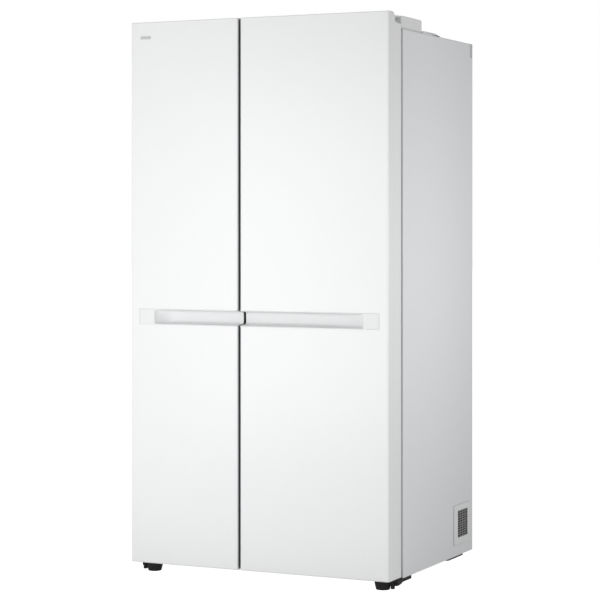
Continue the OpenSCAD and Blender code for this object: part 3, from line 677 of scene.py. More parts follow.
# The door's steel skin: the plan path at each height, open over the grip and at the top hinge
def doorSkin(free, bottom, top):
    path = skinPath(free)
    low, high = gripLo[2], gripHi[2]
    levels = np.array([bottom, (bottom + low) / 2, low, high, (high + notchLow) / 2, notchLow, top])
    grid = np.concatenate([np.repeat(path[None], len(levels), 0),
        np.repeat(levels[:, None, None], len(path), 1)], -1)
    r = doorSet["notchRound"]
    atNotch = (path[:, 0] > half - 0.0001) * (path[:, 1] < notchFront + 0.001)
    ahead = np.clip(path[:, 1] - notchFront + r, 0, r) * atNotch
    grid[-1, :, 2] = np.minimum(top, top + 0.0025 - r + np.sqrt(r * r - ahead * ahead))
    mid = (grid[:-1, :-1] + grid[1:, 1:]) / 2
    atGrip = (mid[..., 2] > low) & (mid[..., 2] < high) & (mid[..., 0] < gripHi[0]) & (
        mid[..., 1] < gripHi[1])
    atHinge = (mid[..., 2] > notchLow) & (mid[..., 1] > notchFront) & (mid[..., 0] > half - 0.1)
    return sheet(grid, ((free + half) / 2, (doorFront + doorBack) / 2, (bottom + top) / 2),
        ~(atGrip | atHinge))


# The grip insert: a rim set back behind a fine gap, a flat pad, then a floor whose depth is the ramp's fall,
# 1 - (1 - t) to a power, times how far the walls have come down from the lips
def doorGrip(free):
    s = gripSet
    length = gripHi[0] - free
    rimIn, rimDepth = np.array(s["rim"]).T
    run = s["pad"] + s["ramp"] * np.linspace(0, 1, 33) ** 1.5
    u = np.concatenate([rimIn, [0.006, s["pad"] - 0.003], run, [length * 0.5, length * 0.75, length]])
    t = np.clip((u - s["pad"]) / s["ramp"], 0, 1)
    soft = np.clip((u - s["pad"]) / s["start"], 0, 1)
    fall = s["depth"] * (1 - (1 - t) ** s["ease"]) * soft * soft * (3 - 2 * soft)
    inner = np.array([0.0026, 0.0030, 0.0034, 0.0039, 0.0066, 0.0074, 0.0090, 0.0115, 0.0150])
    share = np.concatenate([np.zeros(len(rimIn)), [0.004, 0.03, 0.10, 0.20, 0.86, 0.93, 0.975, 0.995, 1.0]])
    v = np.concatenate([rimIn, inner])
    depthV = np.concatenate([rimDepth, np.zeros(len(inner))])
    depthU = np.concatenate([rimDepth, np.zeros(len(u) - len(rimIn))])
    z = np.concatenate([gripLo[2] + v, gripHi[2] - v[::-1]])
    share = np.concatenate([share, share[::-1]])
    depthV = np.concatenate([depthV, depthV[::-1]])
    y = doorFront + np.maximum(depthU[:, None], depthV[None]) + fall[:, None] * share[None]
    x = np.repeat((gripHi[0] - u)[:, None], len(z), 1)
    grid = np.stack([x, y, np.repeat(z[None], len(u), 0)], -1)
    return sheet(grid, ((free + gripHi[0]) / 2, doorBack + 1.0, gripLo[2]))


# A dark strip down a door's free edge that paints the shade in the gap between the doors, in two lengths
# that stop at the grip and a narrow one behind it
def gapShadeStrips(free, bottom, top):
    x0, x1 = free - doorSet["trim"], free + 0.0003
    y0, y1 = doorFront + 0.0065, doorBack - 0.002
    low, high, deep = gripLo[2] - 0.0005, gripHi[2] + 0.0005, gripHi[1] + 0.0005
    runs = ((y0, bottom + 0.002, low), (y0, high, top - 0.002), (deep, low, high))
    return [softBlock((x0, y, z0), (x1, y1, z1), 0.0003) for y, z0, z1 in runs]


# The door's inner face: a flat rim for the gasket, a raised border with drafted walls, a ribbed field
def doorInner(free, cave, low, high):
    plate = ((free + 0.003, low), (half - 0.003, high))
    outer = ((cave[0] + 0.012, cave[2] + 0.014), (cave[1] - 0.012, cave[3] - 0.014))
    y0, y1 = doorBack + 0.002, box["fridge_door_liner"][1][1]
    rows = [(plate, 0, 0.004, doorBack), (plate, 0, 0.004, y0 - 0.0004), (plate, 0.0006, 0.004, y0),
        (outer, -0.004, 0.026, y0), (outer, -0.0012, 0.024, y0 + 0.0012), (outer, 0, 0.022, y0 + 0.004),
        (outer, 0.0015, 0.022, y1 - 0.006), (outer, 0.003, 0.020, y1 - 0.0018), (outer, 0.006, 0.018, y1),
        (outer, 0.020, 0.012, y1), (outer, 0.023, 0.012, y1 - 0.0018), (outer, 0.0245, 0.012, y1 - 0.006),
        (outer, 0.026, 0.014, y0 + 0.006), (outer, 0.028, 0.012, y0 + 0.0016), (outer, 0.033, 0.010, y0)]
    steps = [((x0 + g, z0 + g), (x1 - g, z1 - g), r, at) for ((x0, z0), (x1, z1)), g, r, at in rows]
    return skinOf("y", steps, 8)


# How far the seal stands out past the cave on each side; its profile is (inset, share of its depth)
sealSet = {"free": 0.021, "hinge": 0.020, "ends": 0.018, "corner": 0.022, "profile": [(0.001, 0),
    (0.0, 0.10), (0.0035, 0.24), (0.0045, 0.36), (0.001, 0.50), (0.0, 0.60), (0.003, 0.70), (0.002, 0.80),
    (0.0004, 0.88), (0.0008, 0.98), (0.0022, 1.0), (0.0136, 1.0), (0.0152, 0.97), (0.0155, 0.86),
    (0.0135, 0.78), (0.0115, 0.66), (0.0150, 0.56), (0.0145, 0.46), (0.0115, 0.34), (0.0125, 0.22),
    (0.0158, 0.10), (0.0150, 0)]}


# Bellows seal swept round the door: a foot, a pinched neck and a flat magnetic lip
def doorSeal(cave, lo, hi, s):
    x0, x1, z0, z1 = cave[0] - s["free"], cave[1] + s["hinge"], cave[2] - s["ends"], cave[3] + s["ends"]
    steps = [((x0 + i, z0 + i), (x1 - i, z1 - i), max(s["corner"] - i, 0.004), lo + share * (hi - lo))
        for i, share in s["profile"]]
    return skinOf("y", steps, 7, wrap=True)


binSet = {"count": 4, "pitch": 0.372, "high": 0.104, "dip": 0.02, "corner": 0.018, "wall": 0.003,
    "floor": 0.007, "draft": 0.002, "rail": (0.022, 0.008), "railIn": 0.02}


# A door bin: a drafted tray whose rim dips to the front, with a rail along its front wall
def doorBin(lo, hi, s):
    dip, inset = s["dip"], s["railIn"]
    points, faces = tray(lo, hi, s["corner"], s["wall"], s["floor"], draft=s["draft"], side=8)
    front = np.clip((points[:, 1] - (lo[1] + hi[1]) / 2) / ((hi[1] - lo[1]) / 2), 0, 1)
    share = (points[:, 2] - lo[2]) / (hi[2] - lo[2])
    points[:, 2] -= dip * front * front * (3 - 2 * front) * share
    railLow, railHigh = (hi[2] - dip - down for down in s["rail"])
    rail = softBlock((lo[0] + inset, hi[1] - 0.0008, railLow), (hi[0] - inset, hi[1], railHigh), 0.0003)
    return [(points, faces), rail]


# The foam inside a door, in three blocks clear of the grip and the bushes
def foamCore(free, bottom):
    x0, x1, y0, y1 = free + 0.004, half - 0.004, doorFront + 0.004, doorBack - 0.003
    low, high, deep = gripLo[2] - 0.006, gripHi[2] + 0.006, doorFront + 0.054
    corners = ((x0, y0, bottom + 0.045, low - 0.0005), (x0, y0, high + 0.0005, notchLow - 0.045),
        (free + 0.02, deep, low, high))
    return [softBlock((x, y, z0), (x1, y1, z1), 0.003) for x, y, z0, z1 in corners]


# The skin's return along the top of the door's back, as far as the hinge
def topReturn(free, top):
    return softBlock((free + 0.001, doorBack - 0.0004, notchLow - 0.0045),
        (half - 0.1066, doorBack + 0.0006, top - 0.001), 0.0004)


binRows = box["fridge_door_bins"][0][2] + binSet["pitch"] * np.arange(binSet["count"])
for door, mirror in (("fridge_door", False), ("freezer_door", True)):
    sign = -1 if mirror else 1
    ends = sorted(sign * v for v in (box[door + "_skin"][0][0], box[door + "_skin"][1][0]))
    free = ends[0]
    bottom, top = box[door + "_skin"][0][2], box[door + "_skin"][1][2]
    seal = [sorted(sign * v for v in (box[door + "_gasket"][0][0], box[door + "_gasket"][1][0])),
        (box[door + "_gasket"][0][2], box[door + "_gasket"][1][2])]
    cave = (seal[0][0] + sealSet["free"], seal[0][1] - sealSet["hinge"], seal[1][0] + sealSet["ends"],
        seal[1][1] - sealSet["ends"])
    liner, gasket, bins = box[door + "_liner"], box[door + "_gasket"], box[door + "_bins"]
    binX = sorted(sign * v for v in (bins[0][0], bins[1][0]))
    binShapes = [shape for z in binRows for shape in
        doorBin((binX[0], bins[0][1], z), (binX[1], bins[1][1], z + binSet["high"]), binSet)]
    inner = doorInner(free, cave, liner[0][2], liner[1][2])
    sealRing = doorSeal(cave, gasket[0][1], gasket[1][1], sealSet)
    # name, shapes, finish, node that it stands for, slot, wall
    for part, shapes, look, node, slot, thick in (
            ("SteelSkin", [doorSkin(free, bottom, top)], "doorEnamel", "_skin", None, doorSet["steel"]),
            ("GripInsert", [doorGrip(free)], "whitePlastic", "_grip", None, gripSet["wall"]),
            ("FoamCore", foamCore(free, bottom), "foam", "_foam", None, None),
            ("TopReturn", [topReturn(free, top)], "doorEnamel", None, "white_enamel", None),
            # A dark strip on the free edge paints the shade in the gap between the doors
            ("EdgeTrim", gapShadeStrips(free, bottom, top), "trimPlastic", None, "grey_plastic", None),
            ("InnerPanel", [inner], "linerPlastic", "_liner", None, None),
            ("Seal", [sealRing], "gasketRubber", "_gasket", None, None),
            ("BinSet", binShapes, "clearPlastic", "_bins", None, None)):
        makePiece(door + part, shapes, look, door, [door + node] if node else (), thick, mirror)
    softenNode(door + "_caps", door, 0.0006)
print("doors made")


# The cabinet
wrapSet = {"corner": 0.004, "fold": 0.0022, "flange": 0.011, "hem": 0.0012, "steel": 0.001}
caseLow = box["case_wrapper"][0][2]
caseTop = box["case_wrapper"][1][2]
rear = box["case_wrapper"][1][1]
spacerLow = box["rear_top_spacer"][0][2]
spacerFront = box["rear_top_spacer"][0][1]
ventLo, ventHi = box["side_vent"]
windowSet = {"front": 0.034, "back": 0.018, "low": 0.023, "high": 0.020}
windowLo = (ventLo[0], ventLo[1] + windowSet["front"], ventLo[2] + windowSet["low"])
windowHi = (half, ventHi[1] - windowSet["back"], ventHi[2] - windowSet["high"])


# The painted wrapper: an arch up one side, over the top and down the other, inset at its folded edges
def caseShell(s):
    t = np.linspace(0, math.pi / 2, 7)
    r = s["corner"]
    up = [caseLow, caseLow + 0.012, windowLo[2], windowHi[2], 0.9, spacerLow, caseTop - r - 0.002]
    rightSide = np.array([(half, z, 1, 0) for z in up])
    arc = np.stack([half - r + r * np.cos(t), caseTop - r + r * np.sin(t), np.cos(t), np.sin(t)], -1)
    wing = np.concatenate([rightSide, arc, [(half - r - 0.002, caseTop, 0, 1), (0, caseTop, 0, 1)]])
    other = wing[-2::-1] * (-1, 1, -1, 1)
    arch = np.concatenate([wing, other])
    fold = s["fold"]
    front = [(s["flange"], -0.0002), (fold + 0.001, -0.0002)]
    front += [(i, y - 0.0002) for i, y in zip(fold - fold * np.sin(t), fold - fold * np.cos(t))]
    profile = [(i, caseFront + y) for i, y in front]
    profile += [(0, caseFront + 0.006), (0, -0.05), (0, windowLo[1]), (0, windowHi[1]), (0, spacerFront),
        (0, rear - s["hem"] - 0.001), (0, rear - s["hem"]), (s["hem"] * 0.3, rear - s["hem"] * 0.3),
        (s["hem"], rear), (s["flange"], rear)]
    inset, y = np.array(profile).T
    x = arch[:, None, 0] - inset * arch[:, None, 2]
    z = arch[:, None, 1] - inset * arch[:, None, 3]
    grid = np.stack([x, np.broadcast_to(y, x.shape), z], -1)
    mid = (grid[:-1, :-1] + grid[1:, 1:]) / 2
    atVent = (mid[..., 0] > 0) & (mid[..., 1] > windowLo[1]) & (mid[..., 1] < windowHi[1]) & (
        mid[..., 2] > windowLo[2]) & (mid[..., 2] < windowHi[2])
    atSpacer = (mid[..., 1] > spacerFront) & (mid[..., 2] > spacerLow)
    return sheet(grid, (0, 0, 0.8), ~(atVent | atSpacer))


makePiece("cabinetWrapper", [caseShell(wrapSet)], "caseEnamel", "cabinet", ["case_wrapper"],
    thick=wrapSet["steel"])

ventSet = {"corner": 0.009, "edge": 0.0012, "rows": 11, "columns": 4, "pitchY": 0.0228, "pitchZ": 0.0079,
    "slotY": 0.0180, "slotZ": 0.0060, "startY": 0.0033, "startZ": 0.0025,
    # gap: how far the dark lip that paints the vent's shadow line stands out on each side, and its rise
    "gap": ((0.0024, 0.0005), (0.0006, 0.0007), 0.0003)}


# The vent: a rounded frame, upright bars and sloped louvres between them
def sideVent(s):
    face = half + 0.002
    window = ((windowLo[1], windowLo[2]), (windowHi[1], windowHi[2]))
    frameFlat = ((ventLo[1], ventLo[2]), (ventHi[1], ventHi[2]))
    e = s["edge"]
    steps = [(*frameFlat, s["corner"], half)]
    steps += [((frameFlat[0][0] + i, frameFlat[0][1] + i), (frameFlat[1][0] - i, frameFlat[1][1] - i),
        s["corner"] - i, at) for i, at in fillet(e, face - e, 1, False, 4)]
    steps += [((window[0][0] - i, window[0][1] - i), (window[1][0] + i, window[1][1] + i), 0.002 + i, at)
        for i, at in fillet(e, face - e, 1, False, 3)[::-1]]
    steps += [(*window, 0.002, half - 0.001), (*window, 0.002, half)]
    shapes = [skinOf("x", steps, 6, wrap=True)]
    gapY, gapZ = s["pitchY"] - s["slotY"], s["pitchZ"] - s["slotZ"]
    for j in range(s["columns"] + 1):
        y = windowLo[1] + s["startY"] - gapY + j * s["pitchY"]
        y0, y1 = max(y, windowLo[1] - 0.0005), min(y + gapY, windowHi[1] + 0.0005)
        lo, hi = (half - 0.0006, y0, windowLo[2] - 0.0005), (half + 0.0013, y1, windowHi[2] + 0.0005)
        shapes.append(softBlock(lo, hi, 0.0006))
    for i in range(s["rows"] + 1):
        z = windowLo[2] + s["startZ"] - gapZ + i * s["pitchZ"]
        z0, z1 = max(z, windowLo[2]), min(z + gapZ, windowHi[2])
        lo, hi = (half - 0.0009, windowLo[1], z0), (half + 0.0011, windowHi[1], z1)
        points, faces = softBlock(lo, hi, 0.0007, "y")
        points = points - (0, 0, 0.6) * (points[:, :1] - half)
        shapes.append((points, faces))
    return shapes


# The vent's painted shadow line: a thin dark lip round the frame that paints the shade at its edge, widest
# on the side towards the doors
def ventPaintedShadow(s):
    (low, up), (far, top), rise = s["gap"]
    inner = ((ventLo[1], ventLo[2]), (ventHi[1], ventHi[2]), s["corner"])
    outer = ((ventLo[1] - low, ventLo[2] - up), (ventHi[1] + far, ventHi[2] + top), s["corner"])
    return skinOf("x", [(*outer, half - rise), (*outer, half + rise), (*inner, half + rise),
        (*inner, half - rise)], 6, wrap=True)


ventShapes = sideVent(ventSet)
makePiece("sideVentFrame", ventShapes[:1], "whitePlastic", "cabinet", ["side_vent"])
# The louvres take a dark grey that paints the shade inside the vent's slots
makePiece("sideVentLouvres", ventShapes[1:], "grillePlastic", "cabinet", ())
# A dark lip that paints the shadow line round the vent
makePiece("sideVentGap", [ventPaintedShadow(ventSet)], "trimPlastic", "cabinet", ())

backSet = {"ribs": (-0.36, -0.24, -0.12, 0.0, 0.12, 0.24, 0.36), "rise": 0.0013, "width": 0.010,
    "margin": 0.07, "steel": 0.0008}


# The rear panel: a flat sheet with long pressed ribs, each a raised cosine faded out at its ends
def rearPanel(s):
    lo, hi = box["back_panel"]
    around = np.array([-1, -0.85, -0.6, -0.35, 0, 0.35, 0.6, 0.85, 1]) * s["width"]
    x = np.unique(np.concatenate([[lo[0], hi[0]]] + [c + around for c in s["ribs"]]))
    z = np.unique(np.concatenate([[lo[2], hi[2]], lo[2] + s["margin"] + around + s["width"],
        hi[2] - s["margin"] - around - s["width"], np.linspace(lo[2], hi[2], 9)]))
    near = np.abs(x[:, None] - np.array(s["ribs"])).min(1)
    across = 0.5 + 0.5 * np.cos(np.clip(near / s["width"], 0, 1) * math.pi)
    ends = np.clip(np.minimum(z - lo[2] - s["margin"], hi[2] - s["margin"] - z) / (2 * s["width"]), 0, 1)
    rise = s["rise"] * across[:, None] * (ends * ends * (3 - 2 * ends))
    grid = np.stack([np.repeat(x[:, None], len(z), 1), hi[1] + rise, np.repeat(z[None], len(x), 0)], -1)
    return sheet(grid, (0, 0, 0.9))


makePiece("ribbedRearPanel", [rearPanel(backSet)], "galvanised", "cabinet", ["back_panel"],
    thick=backSet["steel"])

coverSet = {"edge": 0.004, "nose": 0.0125, "corner": 0.004, "crown": 0.0007, "step": -0.240, "narrow": 0.003,
    "recess": 0.026, "pinBack": 0.022, "pinDepth": 0.076, "noseWide": 0.050, "wall": 0.0014}


# A hinge cover: rows from nose to back, each an arch as wide as the plan is there. The plan is a round nose,
# a neck that narrows towards the step and a wider body; the height follows the side outline
def hingeCover(s):
    lo, hi = box["hinge_cover_right"]
    pinX, pinY, r = half - s["pinBack"], doorFront + s["pinDepth"], s["nose"]
    step, back = s["step"], hi[1]
    tops = [(lo[1], 0.028), (-0.306, 0.0322), (-0.298, 0.0366), (-0.285, 0.0384), (-0.262, 0.0405),
        (step, 0.0416), (-0.225, 0.0423), (back - 0.008, 0.0423), (back - 0.002, 0.0412), (back, 0.039)]
    t = np.linspace(0, 1, 9)
    noseY = lo[1] + r * (1 - np.cos(t * math.pi / 2))
    neckY = np.array([pinY, pinY + 0.001, -0.285, -0.275, -0.262, -0.2495, -0.249, step - 0.0002])
    bodyY = np.concatenate([step + s["corner"] * (1 - np.cos(t[::2] * math.pi / 2)), [-0.22, -0.17, -0.12],
        back - s["corner"] * (1 - np.cos(t[::2] * math.pi / 2))[::-1]])
    reach = np.sqrt(np.maximum(r ** 2 - (noseY[-1] - noseY) ** 2, 0))
    noseX = np.stack([pinX - s["noseWide"] - reach, pinX + reach], -1)
    slope = (neckY - pinY) / (step - pinY)
    neckX = np.stack([np.full(len(neckY), pinX - s["noseWide"] - r), pinX + r - s["narrow"] * slope], -1)
    near = np.minimum(bodyY - step, back - bodyY)
    cut = s["corner"] - np.sqrt(np.maximum(s["corner"] ** 2 - np.maximum(s["corner"] - near, 0) ** 2, 0))
    bodyX = np.stack([lo[0] + cut, hi[0] - cut], -1)
    y = np.concatenate([noseY, neckY, bodyY])
    sides = np.concatenate([noseX, neckX, bodyX])
    top = caseTop + np.interp(y, *np.array(tops).T)
    bottom = np.where(y < -0.2492, lo[2] + 0.014, caseTop)
    a = np.linspace(0, math.pi / 2, 6)
    shoulder = np.concatenate([[0, 0], s["edge"] * (1 - np.cos(a))])
    left, right, low = sides[:, :1], sides[:, 1:], bottom[:, None]
    grow = np.minimum(1, (right - left) / (4 * s["edge"]))
    x = np.hstack([left + shoulder * grow, (left + right) / 2, right - shoulder[::-1] * grow])
    knee = top[:, None] - s["edge"]
    rise = np.hstack([low, (low + knee) / 2, knee + s["edge"] * np.sin(a)])
    z = np.hstack([rise, top[:, None] + s["crown"], rise[:, ::-1]])
    neck = (y > pinY) & (y < step - 0.0001)
    x[neck, -2:] -= s["recess"]
    z[neck, -2] = knee[neck, 0]
    rows = np.stack([x, np.repeat(y[:, None], x.shape[1], 1), z], -1)
    ends = rows[[0, -1]]
    ends[..., 2] = low[[0, -1]]
    return sheet(np.concatenate([ends[:1], rows, ends[1:]]), ((lo[0] + hi[0]) / 2, -0.2, caseTop))


for node, mirror in (("hinge_cover_right", False), ("hinge_cover_left", True)):
    makePiece(node + "Shell", [hingeCover(coverSet)], "whitePlastic", "cabinet", [node],
        thick=coverSet["wall"], mirror=mirror)

# The raised cover's side outline, from the front edge over the top to the thin rear edge
wiring = box["top_wiring_cover"]
(wireFront, wireLow), (wireBack, wireTop) = wiring[0][1:], wiring[1][1:]
wiringLine = [(wireFront, wireLow), (wireFront, wireTop - 0.003), (wireFront + 0.0009, wireTop - 0.0009),
    (wireFront + 0.003, wireTop), (wireBack - 0.042, wireTop), (wireBack - 0.030, wireTop - 0.0009),
    (wireBack - 0.018, wireTop - 0.0030), (wireBack - 0.004, wireLow + 0.0013), (wireBack, wireLow)]
makePiece("wiringCoverBar", [softPrism("x", wiringLine, wiring[0][0], wiring[1][0], 0.002)], "whitePlastic",
    "cabinet", ["top_wiring_cover"])

# Feet, rollers and the machine space. Profiles are in millimetres, as radius and height
footSet = {"profile": [(0, 0), (19.4, 0), (20.6, 0.4), (21.5, 1.5), (22.3, 4.6), (23.4, 9.4), (24.7, 15.0),
    (25.8, 19.8), (26.0, 21.2), (26.0, 23.6), (25.6, 24.8), (24.5, 25.4), (9.6, 25.5), (9.0, 25.8),
    (8.6, 26.4), (4.9, 26.6), (4.4, 27.6), (4.9, 28.4), (4.4, 29.2), (4.9, 30.0), (4.4, 30.8), (4.9, 31.6),
    (4.4, 32.4), (4.9, 33.2), (4.2, 34.8), (0, 35.0)], "lobes": (24, 0.012)}
for node in ("foot_right", "foot_left"):
    lo, hi = box[node]
    centre = ((lo[0] + hi[0]) / 2, (lo[1] + hi[1]) / 2, 0)
    makePiece(node + "Knob", [revolve(inMetres(footSet["profile"]), centre, "z", 72, footSet["lobes"])],
        "blackPlastic", node + "_body", [node])

# The dark strips low on both sides, ahead of the rollers
skidSet = {"y": (0.1418, 0.2782), "z": (0.0246, 0.0312), "in": 0.0303, "edge": 0.0024}
skid = softBlock((half - 0.001 - skidSet["in"], skidSet["y"][0], skidSet["z"][0]),
    (half - 0.0007, skidSet["y"][1], skidSet["z"][1]), skidSet["edge"], "y")
makePiece("rearSkids", [skid, flipped(skid)], "blackPlastic", "cabinet", ())

rollerSet = {"spokes": 6, "tyre": [(0, -0.0121), (0.0075, -0.0121), (0.0080, -0.0105), (0.0165, -0.0098),
    (0.0175, -0.0118), (0.0225, -0.0120), (0.0243, -0.0112), (0.0250, -0.0095), (0.0250, -0.0030),
    (0.0240, -0.0024), (0.0240, 0.0024), (0.0250, 0.0030), (0.0250, 0.0095), (0.0243, 0.0112),
    (0.0225, 0.0120), (0.0175, 0.0118), (0.0165, 0.0098), (0.0080, 0.0105), (0.0075, 0.0121), (0, 0.0121)]}
for node in ("rear_roller_right", "rear_roller_left"):
    lo, hi = box[node]
    spokes = []
    for a in 2 * math.pi * np.arange(rollerSet["spokes"]) / rollerSet["spokes"]:
        points, faces = softBlock((-0.0108, -0.0012, 0.007), (0.0108, 0.0012, 0.018), 0.0005)
        y = points[:, 1] * math.cos(a) - points[:, 2] * math.sin(a)
        z = points[:, 1] * math.sin(a) + points[:, 2] * math.cos(a)
        spokes.append((np.stack([points[:, 0], y, z], -1) + (lo + hi) / 2, faces))
    makePiece(node + "Tyre", [revolve(rollerSet["tyre"], (lo + hi) / 2, "x", 56)] + spokes, "blackRubber",
        node + "_body", [node])

compSet = {"body": [(0, 71), (54, 71), (63, 73.5), (69, 80), (72, 90), (72, 126), (74.6, 127.4), (75.2, 129),
    (75.2, 132), (74.6, 133.6), (72, 135), (72, 160), (70.4, 172), (65, 184), (54, 193.5), (40, 200.5),
    (20, 205.6), (0, 207)], "mount": [(0, 60), (10.4, 60), (11, 60.8), (11, 61.8), (9.6, 62.6), (9.6, 63.2),
    (11, 64), (11, 65), (9.6, 65.8), (9.6, 66.4), (11, 67.2), (10.6, 68), (4.9, 68), (4.9, 71), (7.6, 71),
    (8, 71.5), (8, 75), (7.2, 76), (0, 76)], "mountX": 0.08, "mountY": 0.055, "footX": 0.095, "footY": 0.070}
compLo, compHi = box["compressor"]
compX, compY = compLo[0] + compSet["footX"], (compLo[1] + compHi[1]) / 2
legs = softBlock((compX - compSet["footX"], compY - compSet["footY"], 0.0680),
    (compX + compSet["footX"], compY + compSet["footY"], 0.0710), 0.0008, corner=0.012)
boxLid = softBlock((compX - 0.034, compY - 0.082, 0.110), (compX + 0.034, compY - 0.066, 0.165), 0.005)
outlet = pipe(roundPath([(compX + 0.060, compY, 0.150), (compX + 0.0915, compY, 0.150)], 0.005), 0.005, 16)
charge = pipe(roundPath([(compX + 0.02, compY + 0.05, 0.165), (compX + 0.032, compY + 0.078, 0.165),
    (compX + 0.034, compY + 0.080, 0.196)], 0.008), 0.0032, 12)
makePiece("compressorBody", [revolve(inMetres(compSet["body"]), (compX, compY, 0), "z", 96), legs, boxLid,
    outlet, charge], "blackEnamel", "cabinet", ["compressor"])

mounts = [revolve(inMetres(compSet["mount"]), (compX + x, compY + y, 0), "z", 28)
    for x in (-compSet["mountX"], compSet["mountX"]) for y in (-compSet["mountY"], compSet["mountY"])]
makePiece("compressorGrommets", mounts, "blackRubber", "cabinet", ["compressor_mounts"])


coilSet = {
    "evaporator": {"rows": (0.256,), "levels": np.arange(0.430, 0.7101, 0.07), "radius": 0.004, "fins": 26,
        "thin": 0.0008},
    "condenser": {"rows": (0.215, 0.260, 0.305), "levels": np.array([0.095, 0.135, 0.175]), "radius": 0.004,
        "fins": 24, "thin": 0.0009, "finLow": 0.066},
}


# Tubes that run back and forth through a stack of fins, joined by half circle bends at both ends
def finnedCoil(lo, hi, s):
    shapes = []
    levels, radius, thin = s["levels"], s["radius"], s["thin"]
    bend = (levels[1] - levels[0]) / 2
    t = np.linspace(-math.pi / 2, math.pi / 2, 9)
    x0, x1 = lo[0] + bend + radius, hi[0] - bend - radius
    for y in s["rows"]:
        path = []
        for k, z in enumerate(levels):
            ends = (x0, x1) if k % 2 == 0 else (x1, x0)
            path += [(ends[0], y, z), ((x0 + x1) / 2, y, z), (ends[1], y, z)]
            if k + 1 < len(levels):
                side = 1 if k % 2 == 0 else -1
                path += [(ends[1] + side * bend * math.cos(a), y, z + bend + bend * math.sin(a))
                    for a in t[1:-1]]
        shapes.append(pipe(path, radius, 10))
    finLow = s.get("finLow", lo[2])
    for x in np.linspace(x0 + 0.004, x1 - 0.004, s["fins"]):
        shapes.append(softBlock((x - thin / 2, lo[1], finLow), (x + thin / 2, hi[1], hi[2]), thin * 0.3,
            n=1))
    return shapes


makePiece("evaporatorCoil", finnedCoil(*box["evaporator"], coilSet["evaporator"]), "aluminium", "cabinet",
    ["evaporator"])
feetOfIt = [softBlock((0.200, y - 0.006, 0.060), (0.431, y + 0.006, 0.0665), 0.001) for y in (0.200, 0.320)]
makePiece("condenserCoil", finnedCoil(*box["condenser"], coilSet["condenser"]) + feetOfIt, "blackEnamel",
    "cabinet", ["condenser"])

fanSet = {"blades": 5, "root": 0.0155, "gap": 0.0162, "pitch": (38, 16), "chord": (0.011, 0.42),
    "thick": 0.0009, "arch": 0.10, "lean": 0.32, "middle": 0.0102, "hub": [(0, 0.0), (0.012, 0.0),
    (0.0155, 0.0012), (0.017, 0.004), (0.017, 0.018), (0.0155, 0.0198), (0.0118, 0.0204), (0, 0.0204)]}


# A fan about its axis: a domed hub and blades lofted from thin arched sections whose pitch eases to the tip
def fanShapes(centre, axis, radius, s):
    across = np.concatenate([np.linspace(-1, 1, 9), np.linspace(1, -1, 9)[1:-1]])
    thick = np.concatenate([np.full(9, 1.0), np.full(7, -1.0)]) * np.sqrt(np.maximum(1 - across ** 2,
        0)) * s["thick"]
    shapes = [revolve(s["hub"], (0, 0, 0), "z", 48)]
    share = np.linspace(0, 1, 10)
    r = s["root"] + (radius - s["gap"]) * share
    pitch = np.radians(s["pitch"][0] - s["pitch"][1] * share)
    rootChord, wide = s["chord"]
    chord = rootChord + (radius * wide - rootChord) * np.sin(share * math.pi * 0.62) ** 0.8
    chord = chord * np.sqrt(np.clip(1.02 - np.clip((share - 0.8) / 0.22, 0, 1) ** 2, 0.05, 1))
    lean = s["lean"] * share ** 1.4
    for k in range(s["blades"]):
        reach = chord[:, None] * across[None]
        arch = thick[None] + s["arch"] * chord[:, None] * (1 - across[None] ** 2)
        turnBy = k * 2 * math.pi / s["blades"] + lean[:, None] + reach * np.cos(pitch)[:, None] / r[:, None]
        height = reach * np.sin(pitch)[:, None] + arch * np.cos(pitch)[:, None] - 0.002
        height = s["middle"] + np.clip(height, -0.0095, 0.0092)
        rings = np.stack([r[:, None] * np.cos(turnBy), r[:, None] * np.sin(turnBy), height], -1)
        shapes.append(loft(rings))
    return [outward(along(axis, points) + np.asarray(centre), faces) for points, faces in shapes]


lo, hi = box["evaporator_fan"]
makePiece("evaporatorFanRotor", fanShapes(((lo[0] + hi[0]) / 2, lo[1], (lo[2] + hi[2]) / 2), "y", 0.056,
    fanSet), "linerPlastic", "evaporator_fan_body", ["evaporator_fan"])
lo, hi = box["condenser_fan"]
makePiece("condenserFanRotor", fanShapes((lo[0], (lo[1] + hi[1]) / 2, (lo[2] + hi[2]) / 2), "x", 0.064,
    fanSet), "greyPlastic", "condenser_fan_body", ["condenser_fan"])

lo, hi = box["drip_pan"]
makePiece("drainPan", [tray(lo, hi, 0.014, 0.002, 0.008, 0.003)], "greyPlastic", "cabinet", ["drip_pan"])
print("cabinet and machine space made")

# Inside the compartments
linerSet = {"corner": 0.014, "lip": 0.004, "wall": 0.002, "rib": 0.003}


# A formed liner: rounded rectangles from the mouth to the back, the floor rising over the machine space
def linerShell(lo, hi, s):
    y0, y1 = caseFront, hi[1]
    low, step, high = lo[2], 0.200, 0.288
    stations = [(-s["lip"], y0 - 0.0002, low), (-0.0012, y0 - 0.0002, low), (-0.0004, y0 + 0.0002, low),
        (0, y0 + 0.0012, low), (0, y0 + 0.02, low), (0, 0.0, low), (0, 0.083, low), (0, 0.0900, low + 0.002),
        (0, 0.0936, low + 0.006), (0, 0.0950, low + 0.012), (0, 0.0950, step - 0.010),
        (0, 0.0960, step - 0.003), (0, 0.0985, step + 0.0035), (0, 0.1600, high - 0.0070),
        (0, 0.1660, high - 0.0016), (0, 0.1720, high), (0, y1 - 0.0140, high)]
    stations += [(i, y, high) for i, y in fillet(s["corner"], y1 - s["corner"], 1, False, 5)[1:]]
    rings = []
    for g, y, floor in stations:
        flat = roundRect((lo[0] + g, floor + g), (hi[0] - g, hi[2] - g), max(s["corner"] - g, 0.002), 6)
        rings.append(np.column_stack([flat, np.full(len(flat), y)]))
    points, faces = loft(along("y", np.array(rings)), capped=False)
    n = len(rings[0])
    last = tuple(range(len(points) - n, len(points)))
    a, b, c = points[last[0]], points[last[8]], points[last[16]]
    return facing(points, faces + [last if np.cross(b - a, c - b)[1] > 0 else last[::-1]])


